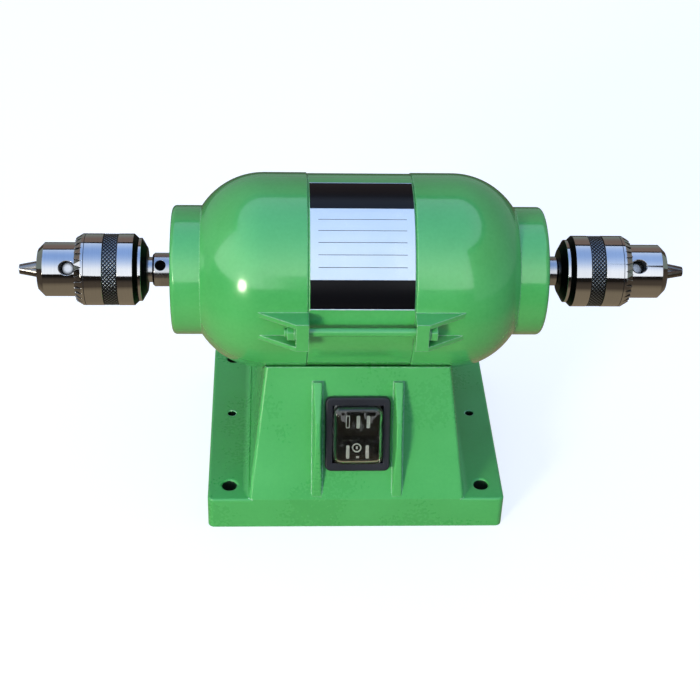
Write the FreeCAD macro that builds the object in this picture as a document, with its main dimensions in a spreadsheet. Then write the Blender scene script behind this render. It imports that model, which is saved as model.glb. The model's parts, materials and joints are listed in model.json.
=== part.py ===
"""Double-ended bench grinder motor on a pedestal base, with a keyed drill chuck on each shaft end.

Frame: millimetres, X along the shaft, Y away from the switch side, Z up, origin on the bench under
the middle of the motor.
"""

import FreeCAD
import Part
import Sketcher
import math
import os
import re

Vector = FreeCAD.Vector
Rotation = FreeCAD.Rotation
Placement = FreeCAD.Placement
ALONG_X = (Vector(0, 1, 0), 90)
SIDES = ("left", "right")
SIDE_TURN = {"left": 180, "right": 0}

# Driving sizes in mm, angles in degrees.
SIZES = {
    # base flange
    "base_width": 143,
    "base_depth": 124,
    "base_height": 17.5,
    "base_wall": 4.5,
    "base_corner": 3,
    "base_edge": 1.2,
    "bolt_inset_x": 10.3,
    "bolt_inset_y": 10.8,
    "bolt_hole_radius": 3.5,
    "bolt_hole_rim": 1.1,
    "bolt_pillar_wall": 3.7,
    "small_hole_radius": 2.2,
    "small_hole_shift": 4,
    # tower between flange and motor
    "tower_foot_width": 103.6,
    "tower_top_width": 88,
    "tower_top_depth": 72.4,
    "tower_rise": 60.1,
    "tower_wall": 4,
    "tower_corner": 1.7,
    "saddle_gap": 0.3,
    "rib_spacing": 38.4,
    "rib_width": 5.2,
    "rib_ridge_width": 2.5,
    "rib_edge": 0.8,
    "rib_height": 9,
    "rib_start": 1.6,
    "rib_length": 57,
    "rib_low_end": 0.1,
    "rib_high_end": 2.5,
    "rib_ridge_start": 28.2,
    "rib_ridge_length": 12.4,
    # bottom plate
    "plate_lift": 2.6,
    "plate_thickness": 1.5,
    "plate_width": 104,
    "plate_margin": 0.4,
    "plate_screw_spacing_x": 93,
    "plate_screw_spacing_y": 90,
    "plate_screw_radius": 1.75,
    "plate_screw_head_radius": 3.4,
    "plate_screw_head_height": 2,
    "plate_screw_length": 11,
    "plate_pillar_radius": 4,
    "plate_pillar_height": 20,
    # motor shell and end bells
    "axis_height": 108.4,
    "shell_length": 48.2,
    "shell_radius": 46,
    "shell_wall": 4.9,
    "bell_radius": 46.4,
    "bell_wall": 4,
    "bell_chamfer": 0.7,
    "spigot_length": 3.7,
    "spigot_wall": 1.6,
    "dome_start": 44.5,
    "boss_start": 73.8,
    "boss_radius": 30.6,
    "boss_end": 87.6,
    "boss_edge": 2.2,
    "hub_length": 6,
    "hub_wall": 4.5,
    "throat_radius": 9.4,
    # lugs and tie bolts
    "lug_thickness": 5.9,
    "lug_reach": 55.4,
    "lug_height": 14.6,
    "gusset_thickness": 2.3,
    "gusset_length": 17.4,
    "tie_offset": 50.6,
    "tie_radius": 2,
    "tie_clearance": 0.25,
    "tie_nut_flats": 7,
    "tie_nut_height": 3.2,
    "tie_end": 1.2,
    "washer_radius": 4,
    "washer_thickness": 0.8,
    # rating plate
    "rating_length": 47.2,
    "rating_thickness": 0.4,
    "rating_start": 10.8,
    "rating_sweep": 82.9,
    # stator and rotor
    "stack_length": 40,
    "air_gap": 0.35,
    "rotor_radius": 23.7,
    "slot_count": 24,
    "slot_circle": 32,
    "slot_radius": 3.1,
    "slot_liner": 0.25,
    "winding_reach": 16,
    "winding_inner": 26.5,
    "winding_outer": 39,
    "cage_length": 6,
    "cage_inner": 14,
    "core_shaft_radius": 7.5,
    "press_gap": 0.05,
    # bearings, shaft and seals
    "bearing_bore": 6,
    "bearing_radius": 16,
    "bearing_width": 10,
    "bearing_end": 80.2,
    "ball_circle": 11,
    "ball_radius": 2.9,
    "ball_count": 7,
    "race_gap": 0.08,
    "race_land": 2.1,
    "ball_cage_thickness": 1.4,
    "ball_cage_width": 7.2,
    "preload_gap": 0.8,
    "preload_thickness": 0.5,
    "seal_radius": 11,
    "seal_width": 3.4,
    "seal_gap": 0.25,
    "spindle_radius": 5,
    "spindle_end": 95.4,
    "shaft_chamfer": 0.6,
    # adapter
    "adapter_start": 82.2,
    "left_adapter_radius": 8,
    "right_adapter_radius": 7,
    "adapter_chamfer": 0.9,
    "left_neck": 2.4,
    "right_neck": 0.5,
    "taper_radius": 6.03,
    "taper_slope": 0.025,
    "taper_length": 15,
    "set_screw_at": 93.2,
    "set_screw_radius": 2.5,
    "set_screw_recess": 0.6,
    "set_screw_socket": 1.5,
    "left_set_screw_angle": 48,
    "right_set_screw_angle": 190,
    # chuck
    "chuck_start": 99.4,
    "left_chuck_shift": 0,
    "right_chuck_shift": -3,
    "chuck_cone_length": 2.6,
    "chuck_cone_radius": 10.5,
    "chuck_collar_radius": 15,
    "chuck_collar_length": 1.3,
    "chuck_length": 51.2,
    "chuck_barrel_radius": 14.1,
    "chuck_nose_radius": 12.8,
    "chuck_nose_chamfer": 3,
    "chuck_bore_radius": 4.3,
    "nut_start": 24.2,
    "nut_width": 5.8,
    "nut_gap": 0.25,
    "nut_core_radius": 7.6,
    "nut_split": 0.4,
    "key_hole_at": 36.9,
    "key_hole_radius": 3.2,
    "key_hole_floor": 7,
    "key_hole_chamfer": 0.5,
    "left_key_angle": 36,
    "right_key_angle": 44,
    "sleeve_radius": 17,
    "sleeve_gap": 0.1,
    "sleeve_rear_gap": 0.3,
    "sleeve_length": 29.2,
    "sleeve_lip": 2.6,
    "sleeve_edge": 2,
    "band_start": 9.1,
    "band_width": 7.1,
    "band_depth": 0.35,
    "tooth_count": 32,
    "tooth_bevel": 3.2,
    "tooth_length": 3.8,
    "tooth_drop": 1.9,
    "tooth_depth": 1.7,
    "tooth_space": 2.9,
    "jaw_angle": 12,
    "jaw_radius": 2.6,
    "jaw_reach": 60.4,
    "jaw_tip_shift": 0.4,
    "jaw_rear": 24,
    "jaw_gap": 0.05,
    "jaw_face_gap": 0.1,
    "jaw_bore_rear": 5.2,
    # switch
    "switch_at": 33.3,
    "bezel_width": 31,
    "bezel_height": 36.4,
    "bezel_thickness": 3,
    "bezel_corner": 3,
    "switch_window_width": 24.2,
    "switch_window_height": 28.6,
    "switch_wall": 1.5,
    "switch_depth": 24,
    "switch_cavity_depth": 12,
    "switch_fit": 0.25,
    "switch_pin_radius": 1.5,
    "switch_pin_depth": 4,
    "pin_gap": 0.05,
    "rocker_width": 20.6,
    "rocker_length": 23.6,
    "rocker_middle": 1.7,
    "rocker_floor": 3,
    "rocker_tilt": 8.8,
    "cover_wall": 0.9,
    "cover_height": 7.2,
    "cover_foot": 0.5,
    "cover_gap": 0.2,
    "cover_edge": 1.8,
    "terminal_width": 6.3,
    "terminal_thickness": 0.8,
    "terminal_length": 8,
    "terminal_spacing_x": 11,
    "terminal_spacing_y": 17,
    # parts in the base
    "capacitor_radius": 15,
    "capacitor_length": 56,
    "capacitor_shift": 22,
    "clamp_thickness": 1,
    "clamp_width": 10,
    "clamp_foot": 44,
    "clamp_gap": 0.1,
    "block_length": 34,
    "block_width": 16,
    "block_height": 14,
    "block_shift": 30,
    "block_hole_radius": 2,
    "saddle_screw_spacing": 28,
    "saddle_screw_radius": 2.5,
    "saddle_screw_head_radius": 4.4,
    "saddle_screw_head_height": 3.4,
    "saddle_screw_short": 0.4,
    "screw_gap": 0.05,
    "gland_at": 24,
    "gland_bore_radius": 3.6,
    "gland_thread_radius": 6,
    "gland_head_radius": 8.6,
    "gland_head_length": 7.5,
    "gland_tail": 7,
    "gland_nut_radius": 9.8,
    "gland_nut_height": 4,
    "grommet_shift": 32,
    "grommet_hole_radius": 5.5,
    "grommet_wall": 1.5,
    "grommet_lip": 1.3,
    "lead_radius": 1.1,
    "lead_spacing": 2.6,
    "lead_gap": 0.3,
    "lead_bend": 12,
    "lead_end_bend": 6,
    "lead_rise": 3.5,
    "lead_depth": 4,
}

# Sizes that follow from the driving ones.
DERIVED = {
    "seam": "shell_length / 2",
    "shell_inner": "(shell_radius - shell_wall)",
    "half_depth": "base_depth / 2",
    "half_width": "base_width / 2",
    "bolt_x": "(base_width / 2 - bolt_inset_x)",
    "bolt_y": "(base_depth / 2 - bolt_inset_y)",
    "lean": "atan((base_depth - tower_top_depth) / 2 / tower_rise)",
    "side_lean": "atan((tower_foot_width - tower_top_width) / 2 / tower_rise)",
    "wall_y": "(tower_wall / cos(lean))",
    "wall_x": "(tower_wall / cos(side_lean))",
    "saddle_radius": "(bell_radius + saddle_gap)",
    "roof_radius": "(saddle_radius + tower_wall)",
    "plate_top": "(plate_lift + plate_thickness)",
    "dome_drop": "(bell_radius - boss_radius)",
    "dome_radius": "(((boss_start - dome_start) ^ 2 + dome_drop ^ 2) / (2 * dome_drop))",
    "hub_root": "(boss_start - bell_wall)",
    "hub_outer": "(bearing_radius + press_gap + hub_wall)",
    "inner_dome": "(dome_radius - bell_wall)",
    "inner_dome_end": "(bell_radius - dome_radius + sqrt(inner_dome ^ 2 - (hub_root - dome_start) ^ 2))",
    "bearing_seat": "(bearing_radius + press_gap)",
    "bearing_start": "(bearing_end - bearing_width)",
    "bearing_middle": "(bearing_end - bearing_width / 2)",
    "shoulder": "(bearing_end + preload_gap)",
    "spigot_inner": "(shell_inner + press_gap + 0.15)",
    "spigot_outer": "(spigot_inner + spigot_wall)",
    "race_radius": "(ball_radius + race_gap)",
    "race_half": "sqrt(race_radius ^ 2 - race_land ^ 2)",
    "stator_inner": "(rotor_radius + air_gap)",
    "stator_outer": "(shell_inner - press_gap)",
    "winding_end": "(stack_length / 2 + winding_reach)",
    "lug_end": "(seam + lug_thickness)",
    "lug_root": "(bell_radius - 2.2)",
    "jaw_tip": "(chuck_start + jaw_reach)",
    "nut_front": "(chuck_start + nut_start + nut_width)",
    "nut_back": "(chuck_start + nut_start)",
    "groove_back": "(nut_back - 0.2)",
    "groove_front": "(nut_front + 0.2)",
    "collar_front": "(chuck_start + chuck_cone_length + chuck_collar_length)",
    "nose": "(chuck_start + chuck_length)",
    "sleeve_back": "(collar_front + sleeve_rear_gap)",
    "sleeve_front": "(sleeve_back + sleeve_length)",
    "sleeve_bore": "(chuck_barrel_radius + sleeve_gap)",
    "sleeve_mouth": "(chuck_nose_radius + sleeve_gap + 0.1)",
    "jaw_line_nut_back": "(jaw_radius - jaw_tip_shift + (jaw_tip - nut_back) * tan(jaw_angle))",
    "jaw_line_nut_front": "(jaw_radius - jaw_tip_shift + (jaw_tip - nut_front) * tan(jaw_angle))",
    "taper_end_radius": "(taper_radius - taper_slope * taper_length)",
    "socket_depth": "(taper_length + 1)",
    "socket_end_radius": "(taper_radius + press_gap / 2 - taper_slope * socket_depth)",
    "switch_body_width": "(switch_window_width + 2 * switch_wall)",
    "switch_body_height": "(switch_window_height + 2 * switch_wall)",
    "cover_width": "(switch_window_width - 2 * cover_gap)",
    "cover_length": "(switch_window_height - 2 * cover_gap)",
    "rocker_end": "(rocker_middle + rocker_length / 2 * tan(rocker_tilt))",
    "capacitor_height": "(plate_top + clamp_gap * 2 + clamp_thickness + capacitor_radius)",
    "grommet_radius": "(grommet_hole_radius - clamp_gap)",
    "block_y": "(half_depth - block_shift)",
    "block_top": "(plate_top + block_height)",
}

document = FreeCAD.newDocument("bench_grinder")
sheet = document.addObject("Spreadsheet::Sheet", "Sizes")
for row, (alias, number) in enumerate(SIZES.items(), start=1):
    sheet.set(f"A{row}", str(number))
    sheet.setAlias(f"A{row}", alias)
document.recompute()

finished = []


def expression(text):
    """Writes a size formula with its names replaced by cells of the sheet."""
    def swap(found):
        word = found.group(0)
        if word in DERIVED:
            return "(" + expression(DERIVED[word]) + ")"
        return "Sizes." + word if word in SIZES else word

    return re.sub(r"[a-z_]+[a-z]", swap, str(text))


def measure(text):
    """Gives the present value of a size formula as a number."""
    value = sheet.evalExpression(expression(text))
    return float(getattr(value, "Value", value))


def bind(thing, field, text):
    """Ties one property to a size formula."""
    thing.setExpression(field, expression(text))


def place(thing, at=("0", "0", "0"), turn=None):
    """Puts an object at a position given by formulas, turned by an axis and an angle formula."""
    rotation = Rotation(turn[0], measure(turn[1])) if turn else Rotation()
    thing.Placement = Placement(Vector(*[measure(value) for value in at]), rotation)
    for letter, value in zip("xyz", at):
        if value != "0":
            bind(thing, f"Placement.Base.{letter}", value)
    return thing


def primitive(kind, fields, at=("0", "0", "0"), turn=None):
    """Adds a solid whose named fields are size formulas."""
    thing = document.addObject(kind, kind.split("::")[1].lower())
    for field, value in fields.items():
        bind(thing, field, value)
    return place(thing, at, turn)


def box(corner, size):
    """Adds a box from its low corner and its three sizes."""
    return primitive("Part::Box", dict(zip(("Length", "Width", "Height"), size)), corner)


def rod(radius, length, at, turn=None):
    """Adds a cylinder that starts at a point."""
    return primitive("Part::Cylinder", {"Radius": radius, "Height": length}, at, turn)


def hexagon(flats, height, at, turn):
    """Adds a six-sided prism of a width across flats."""
    prism = primitive("Part::Prism", {"Circumradius": f"{flats} / sqrt(3)", "Height": height}, at, turn)
    prism.Polygon = 6
    return prism


def cut(base, *tools):
    """Takes solids away from a base."""
    result = document.addObject("Part::Cut", "cut")
    result.Base = base
    result.Tool = tools[0] if len(tools) == 1 else group(*tools)
    return result


def fuse(*shapes):
    """Joins solids into one."""
    result = document.addObject("Part::MultiFuse", "fuse")
    result.Shapes = list(shapes)
    return result


def group(*shapes):
    """Keeps solids together without joining them."""
    result = document.addObject("Part::Compound", "group")
    result.Links = list(shapes)
    return result


def rounded(base, picks):
    """Rounds the edges that each test accepts, with the radius formula beside it."""
    document.recompute()
    result = document.addObject("Part::Fillet", "fillet")
    result.Base = base
    edges = []
    for number, edge in enumerate(base.Shape.Edges, start=1):
        for accepts, radius in picks:
            if accepts(edge):
                edges.append((number, measure(radius), measure(radius)))
                break
    result.Edges = edges
    return result


def upright(edge):
    """Tells whether an edge climbs rather than lies level."""
    return abs(edge.Vertexes[0].Z - edge.Vertexes[-1].Z) > 1


def plane_of(body, role):
    """Finds one of a body's own planes or axes."""
    return [item for item in body.Origin.OriginFeatures if item.Role == role][0]


def arc_between(start, end, radius, side):
    """Makes the arc from start to end whose centre lies left (+1) or right (-1) of that line."""
    chord = end - start
    middle = (start + end) * 0.5
    rise = math.sqrt(max(radius ** 2 - (chord.Length / 2) ** 2, 0))
    normal = Vector(-chord.y, chord.x, 0).normalize()
    centre = middle + normal * (rise * side)
    first, last = (start, end) if side > 0 else (end, start)
    angles = [math.atan2(point.y - centre.y, point.x - centre.x) for point in (first, last)]
    circle = Part.Circle(centre, Vector(0, 0, 1), radius)
    return Part.ArcOfCircle(circle, angles[0], angles[1])


def outline(body, role, corners, lift="0"):
    """Draws a closed outline; a corner is (x, y) or (x, y, radius, side) where an arc leaves it."""
    sketch = body.newObject("Sketcher::SketchObject", "outline")
    sketch.AttachmentSupport = [(plane_of(body, role), "")]
    sketch.MapMode = "FlatFace"
    if lift != "0":
        bind(sketch, "AttachmentOffset.Base.z", lift)
    points = [Vector(measure(corner[0]), measure(corner[1]), 0) for corner in corners]
    heads = []
    for index, corner in enumerate(corners):
        start = points[index]
        end = points[(index + 1) % len(points)]
        if len(corner) == 2:
            sketch.addGeometry(Part.LineSegment(start, end), False)
            heads.append((1, 2))
        else:
            sketch.addGeometry(arc_between(start, end, measure(corner[2]), corner[3]), False)
            heads.append((1, 2) if corner[3] > 0 else (2, 1))
    for index in range(len(corners)):
        following = (index + 1) % len(corners)
        sketch.addConstraint(
            Sketcher.Constraint("Coincident", index, heads[index][1], following, heads[following][0])
        )
    for index, corner in enumerate(corners):
        datums = [("DistanceX", corner[0], points[index].x), ("DistanceY", corner[1], points[index].y)]
        for kind, text, value in datums:
            number = sketch.addConstraint(
                Sketcher.Constraint(kind, -1, 1, index, heads[index][0], value)
            )
            sketch.setExpression(f"Constraints[{number}]", expression(text))
        if len(corner) == 4:
            number = sketch.addConstraint(Sketcher.Constraint("Radius", index, measure(corner[2])))
            sketch.setExpression(f"Constraints[{number}]", expression(corner[2]))
    return sketch


def turned(corners, sweep="360"):
    """Turns an (x, radius) outline about the X axis."""
    body = document.addObject("PartDesign::Body", "turned")
    sketch = outline(body, "XY_Plane", corners)
    revolution = body.newObject("PartDesign::Revolution", "revolution")
    revolution.Profile = sketch
    revolution.ReferenceAxis = (sketch, ["H_Axis"])
    revolution.Angle = measure(sweep)
    if sweep != "360":
        bind(revolution, "Angle", sweep)
    body.Tip = revolution
    return body


def raised(role, corners, length, lift="0", centred=False):
    """Pads an outline drawn on one of the main planes."""
    body = document.addObject("PartDesign::Body", "raised")
    sketch = outline(body, role, corners, lift)
    pad = body.newObject("PartDesign::Pad", "pad")
    pad.Profile = sketch
    pad.SideType = "Symmetric" if centred else "One side"
    bind(pad, "Length", length)
    body.Tip = pad
    return body


def ring(start, end, inner, outer):
    """Turns a plain ring about the X axis."""
    return turned([(start, inner), (end, inner), (end, outer), (start, outer)])


def publish(label, thing):
    """Names a finished sub-part and keeps it for export."""
    thing.Label = label
    finished.append(thing)
    return thing


def on_axis(thing, side="right", phase=0.0):
    """Seats a piece drawn about X on the motor axis, facing out at one side."""
    facing = Rotation(Vector(0, 0, 1), SIDE_TURN[side])
    spin = Rotation(Vector(1, 0, 0), phase)
    thing.Placement = Placement(Vector(0, 0, measure("axis_height")), facing.multiply(spin))
    bind(thing, "Placement.Base.z", "axis_height")
    return thing


def on_chuck(thing, side, phase):
    """Seats a piece of a chuck on the motor axis, as far out as its own side's taper holds it."""
    on_axis(thing, side, phase)
    reach = f"{side}_chuck_shift" if side == "right" else f"-{side}_chuck_shift"
    thing.Placement.Base.x = measure(reach)
    bind(thing, "Placement.Base.x", reach)
    return thing


def facing_front(side, elevation):
    """Gives the turn about X that points local +Z forward at an elevation in degrees."""
    return (90 - elevation) * (1 if side == "right" else -1)


def on_panel(thing, at=("0", "0", "0"), rear=False):
    """Seats a piece drawn as (x, up the slope, out of the slope) on the front or rear panel."""
    tilt = Rotation(Vector(1, 0, 0), 90 - measure("lean"))
    facing = Rotation(Vector(0, 0, 1), 180 if rear else 0)
    along, up, out = [measure(value) for value in at]
    foot = Vector(0, -measure("half_depth"), measure("base_height"))
    inside = Placement(foot, tilt)
    offset = Placement(Vector(along, up, out), Rotation())
    thing.Placement = Placement(Vector(), facing).multiply(inside).multiply(offset)
    return thing


def quad(x, y):
    """Lists every pairing of plus and minus two formulas."""
    return [(x, y), (x, f"-{y}"), (f"-{x}", y), (f"-{x}", f"-{y}")]


def frustum(foot_x, foot_y, top_x, top_y, base, rise):
    """Adds a four-sided block that tapers from foot to top sizes."""
    fields = {"Ymin": "0", "Ymax": rise}
    for name, size in (("X", foot_x), ("Z", foot_y)):
        fields[f"{name}min"] = f"-({size}) / 2"
        fields[f"{name}max"] = f"({size}) / 2"
    for name, size in (("X2", top_x), ("Z2", top_y)):
        fields[f"{name}min"] = f"-({size}) / 2"
        fields[f"{name}max"] = f"({size}) / 2"
    return primitive("Part::Wedge", fields, ("0", "0", base), (Vector(1, 0, 0), "90"))


def rib(side):
    """Adds one guard rib beside the switch: a level ridge between two slopes."""
    middle = f"{side} * rib_spacing / 2"
    rib_end = "(rib_start + rib_length)"
    bar = primitive("Part::Wedge", {
        "Ymin": "-0.8",
        "Ymax": "rib_height",
        "Xmin": f"{middle} - rib_width / 2",
        "Xmax": f"{middle} + rib_width / 2",
        "X2min": f"{middle} - rib_ridge_width / 2",
        "X2max": f"{middle} + rib_ridge_width / 2",
        "Zmin": f"-{rib_end}",
        "Zmax": "-rib_start",
        "Z2min": f"-{rib_end}",
        "Z2max": "-rib_start",
    })
    over = {"Ymax": "rib_height"}
    for name in ("X", "X2"):
        over[f"{name}min"] = f"{middle} - rib_width"
        over[f"{name}max"] = f"{middle} + rib_width"
    high = primitive("Part::Wedge", {
        **over,
        "Ymin": "rib_high_end",
        "Zmin": f"-{rib_end} - 1",
        "Zmax": f"-{rib_end}",
        "Z2min": f"-{rib_end} - 1",
        "Z2max": "-rib_ridge_start - rib_ridge_length",
    })
    low = primitive("Part::Wedge", {
        **over,
        "Ymin": "rib_low_end",
        "Zmin": "-rib_start",
        "Zmax": "-rib_start + 1",
        "Z2min": "-rib_ridge_start",
        "Z2max": "-rib_start + 1",
    })
    soft = rounded(cut(bar, high, low), [(lambda edge: edge.BoundBox.YMin > 0
                                          and edge.BoundBox.ZLength > 1, "rib_edge")])
    foot = Vector(0, -measure("half_depth"), measure("base_height"))
    soft.Placement = Placement(foot, Rotation(Vector(1, 0, 0), 180 - measure("lean")))
    return soft


def base_solid():
    """Joins the outer forms of the base: flange, tower and guard ribs."""
    plate = box(("-half_width", "-half_depth", "0"), ("base_width", "base_depth", "base_height"))
    top = measure("base_height")
    flange = rounded(plate, [
        (upright, "base_corner"),
        (lambda edge: edge.BoundBox.ZMin > top - 0.01, "base_edge"),
    ])
    foot = box(
        ("-tower_foot_width / 2 + tower_corner", "-half_depth", "0"),
        ("tower_foot_width - 2 * tower_corner", "base_depth", "base_height"),
    )
    block = frustum("tower_foot_width", "base_depth", "tower_top_width", "tower_top_depth",
                    "base_height", "tower_rise")
    tower = rounded(block, [(upright, "tower_corner")])
    return fuse(flange, foot, tower, rib(-1), rib(1))


def base_hollow():
    """Joins the room inside the base: under the flange and up to the saddle's roof."""
    under = box(
        ("-half_width + base_wall", "-half_depth + base_wall", "-1"),
        ("base_width - 2 * base_wall", "base_depth - 2 * base_wall", "base_height - base_wall + 1"),
    )
    room = frustum("tower_foot_width - 2 * wall_x", "base_depth - 2 * wall_y",
                   "tower_top_width - 2 * wall_x", "tower_top_depth - 2 * wall_y",
                   "base_height", "tower_rise")
    neck = box(
        ("-tower_foot_width / 2 + wall_x", "-half_depth + wall_y", "0"),
        ("tower_foot_width - 2 * wall_x", "base_depth - 2 * wall_y", "base_height"),
    )
    roof = rod("roof_radius", "base_width", ("-half_width", "0", "axis_height"), ALONG_X)
    return fuse(under, neck, cut(room, roof))


def bolt_rim(edge):
    """Tells whether an edge is the upper rim of a bench bolt hole."""
    span = edge.BoundBox
    level = abs(span.ZMin - measure("base_height")) < 0.01 and span.ZLength < 0.01
    return level and abs(span.XLength - 2 * measure("bolt_hole_radius")) < 0.01


def base_casting():
    """Builds the cast base: hollow flange, tower, saddle, pillars and holes."""
    walls = cut(base_solid(), base_hollow())
    inside = "base_height - base_wall / 2"
    bolts = quad("bolt_x", "bolt_y")
    smalls = [("bolt_x", "small_hole_shift"), ("-bolt_x", "small_hole_shift")]
    covers = quad("plate_screw_spacing_x / 2", "plate_screw_spacing_y / 2")
    pillars = [rod("bolt_hole_radius + bolt_pillar_wall", inside, (x, y, "0")) for x, y in bolts]
    pillars += [rod("small_hole_radius + bolt_pillar_wall", inside, (x, y, "0")) for x, y in smalls]
    pillars += [
        rod("plate_pillar_radius", "plate_pillar_height", (x, y, "plate_top")) for x, y in covers
    ]
    holes = [rod("bolt_hole_radius", "base_height + 2", (x, y, "-1")) for x, y in bolts]
    holes += [rod("small_hole_radius", "base_height + 2", (x, y, "-1")) for x, y in smalls]
    holes += [
        rod("plate_screw_radius + screw_gap", "plate_screw_length", (x, y, "plate_lift"))
        for x, y in covers
    ]
    holes.append(rod("saddle_radius", "base_width", ("-half_width", "0", "axis_height"), ALONG_X))
    for x in ("saddle_screw_spacing / 2", "-saddle_screw_spacing / 2"):
        holes.append(rod("saddle_screw_radius + 0.25", "tower_wall * 3",
                         (x, "0", "axis_height - roof_radius - tower_wall")))
    holes.append(rod("grommet_hole_radius", "tower_wall * 3",
                     ("-grommet_shift", "0", "axis_height - roof_radius - tower_wall")))
    window = box(
        ("-switch_body_width / 2 - switch_fit", "switch_at - switch_body_height / 2 - switch_fit",
         "-switch_depth - switch_fit"),
        ("switch_body_width + 2 * switch_fit", "switch_body_height + 2 * switch_fit",
         "switch_depth + switch_fit + tower_wall"),
    )
    inlet = rod("gland_thread_radius + 0.2", "tower_wall * 3", ("0", "gland_at", "-tower_wall * 2"))
    front = group(window)
    rear = group(inlet)
    on_panel(front)
    on_panel(rear, rear=True)
    casting = cut(fuse(walls, *pillars), *holes, front, rear)
    publish("base_casting", rounded(casting, [(bolt_rim, "bolt_hole_rim")]))


def screw(head_radius, head_height, radius, length):
    """Turns a pan-head screw along +X with the head's seat at zero."""
    edge = f"{head_height} * 0.35"
    return turned([
        ("0", "0"),
        (f"-{head_height}", "0"),
        (f"-{head_height}", f"{head_radius} - {edge}"),
        (f"-{head_height} + {edge}", head_radius),
        ("0", head_radius),
        ("0", radius),
        (f"{length} - 0.5", radius),
        (length, f"{radius} - 0.5"),
        (length, "0"),
    ])


def upward(thing, x, y, z):
    """Stands a piece drawn along +X so that it points up."""
    return place(thing, (x, y, z), (Vector(0, 1, 0), "-90"))


def bottom_cover():
    """Builds the plate under the tower and its four screws."""
    covers = quad("plate_screw_spacing_x / 2", "plate_screw_spacing_y / 2")
    depth = "(base_depth - 2 * base_wall - 2 * plate_margin)"
    sheet_metal = box(("-plate_width / 2", f"-{depth} / 2", "plate_lift"),
                      ("plate_width", depth, "plate_thickness"))
    holes = [rod("plate_screw_radius + 0.25", "plate_thickness + 2", (x, y, "plate_lift - 1"))
             for x, y in covers]
    publish("bottom_plate", cut(sheet_metal, *holes))
    screws = [
        upward(screw("plate_screw_head_radius", "plate_screw_head_height", "plate_screw_radius",
                     "plate_screw_length - 1"), x, y, "plate_lift")
        for x, y in covers
    ]
    publish("plate_screws", group(*screws))


def saddle_screws():
    """Builds the two screws that hold the motor down into the saddle."""
    seat = "axis_height - roof_radius"
    length = "(roof_radius - shell_inner - saddle_screw_short)"
    screws = [
        upward(screw("saddle_screw_head_radius", "saddle_screw_head_height", "saddle_screw_radius", length),
               x, "0", seat)
        for x in ("saddle_screw_spacing / 2", "-saddle_screw_spacing / 2")
    ]
    publish("saddle_screws", group(*screws))


def centre_shell():
    """Builds the middle tube of the motor, rebated for the bells' spigots."""
    rebate = "(seam - spigot_length - 0.2)"
    deep = "(spigot_outer + 0.1)"
    tube = turned([
        ("-seam", deep),
        (f"-{rebate}", deep),
        (f"-{rebate}", "shell_inner"),
        (rebate, "shell_inner"),
        (rebate, deep),
        ("seam", deep),
        ("seam", "shell_radius"),
        ("-seam", "shell_radius"),
    ])
    threads = [
        rod("saddle_screw_radius + screw_gap", "shell_wall * 3", (x, "0", "-shell_radius - shell_wall"))
        for x in ("saddle_screw_spacing / 2", "-saddle_screw_spacing / 2")
    ]
    publish("centre_shell", on_axis(cut(tube, *threads)))


def rating_plate():
    """Builds the thin curved plate on the upper front of the centre shell."""
    low = "shell_radius + press_gap"
    high = "shell_radius + press_gap + rating_thickness"
    half = "rating_length / 2"
    plate = turned([(f"-{half}", low), (half, low), (half, high), (f"-{half}", high)], "rating_sweep")
    publish("rating_plate", on_axis(plate, "left", measure("rating_start")))


def bell_form():
    """Turns an end bell: spigot, cylinder, dome, bearing hub and boss."""
    inside = "bell_radius - bell_wall"
    spigot_start = "seam - spigot_length"
    step = "seam + bell_wall / 2"
    return turned([
        ("seam", "bell_radius - bell_chamfer"),
        ("seam + bell_chamfer", "bell_radius"),
        ("dome_start", "bell_radius", "dome_radius", -1),
        ("boss_start", "boss_radius"),
        ("boss_end - boss_edge", "boss_radius", "boss_edge", -1),
        ("boss_end", "boss_radius - boss_edge"),
        ("boss_end", "seal_radius"),
        ("boss_end - seal_width", "seal_radius"),
        ("boss_end - seal_width", "throat_radius"),
        ("shoulder", "throat_radius"),
        ("shoulder", "bearing_seat"),
        ("hub_root - hub_length", "bearing_seat"),
        ("hub_root - hub_length", "hub_outer"),
        ("hub_root", "hub_outer"),
        ("hub_root", "inner_dome_end", "inner_dome", 1),
        ("dome_start", inside),
        (step, inside),
        (step, "spigot_inner"),
        (spigot_start, "spigot_inner"),
        (spigot_start, "spigot_outer"),
        ("seam", "spigot_outer"),
    ])


def lug(face):
    """Adds the tie-bolt lug on one face of a bell, with its two gussets."""
    block = raised("XY_Plane", [
        ("seam", f"{face} * lug_root"),
        ("lug_end", f"{face} * lug_root"),
        ("lug_end", f"{face} * lug_reach"),
        ("seam", f"{face} * lug_reach"),
    ], "lug_height", centred=True)
    wing = [
        ("lug_end - 1", f"{face} * lug_root"),
        ("lug_end + gusset_length", f"{face} * lug_root"),
        ("lug_end + gusset_length", f"{face} * (bell_radius - 0.8)"),
        ("lug_end", f"{face} * lug_reach"),
        ("lug_end - 1", f"{face} * lug_reach"),
    ]
    upper = raised("XY_Plane", wing, "gusset_thickness", "lug_height / 2 - gusset_thickness")
    lower = raised("XY_Plane", wing, "gusset_thickness", "-lug_height / 2")
    return [block, upper, lower]


def end_bell(side):
    """Builds one end bell with its lugs, bolt holes and, on the left, the lead hole."""
    solid = fuse(bell_form(), *lug(-1), *lug(1))
    tools = [
        rod("tie_radius + tie_clearance", "lug_thickness + 2", ("seam - 1", y, "0"), ALONG_X)
        for y in ("tie_offset", "-tie_offset")
    ]
    if side == "left":
        tools.append(rod("grommet_hole_radius", "bell_wall * 3",
                         ("grommet_shift", "0", "-bell_radius - bell_wall")))
    publish(f"{side}_end_bell", on_axis(cut(solid, *tools), side))


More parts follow.
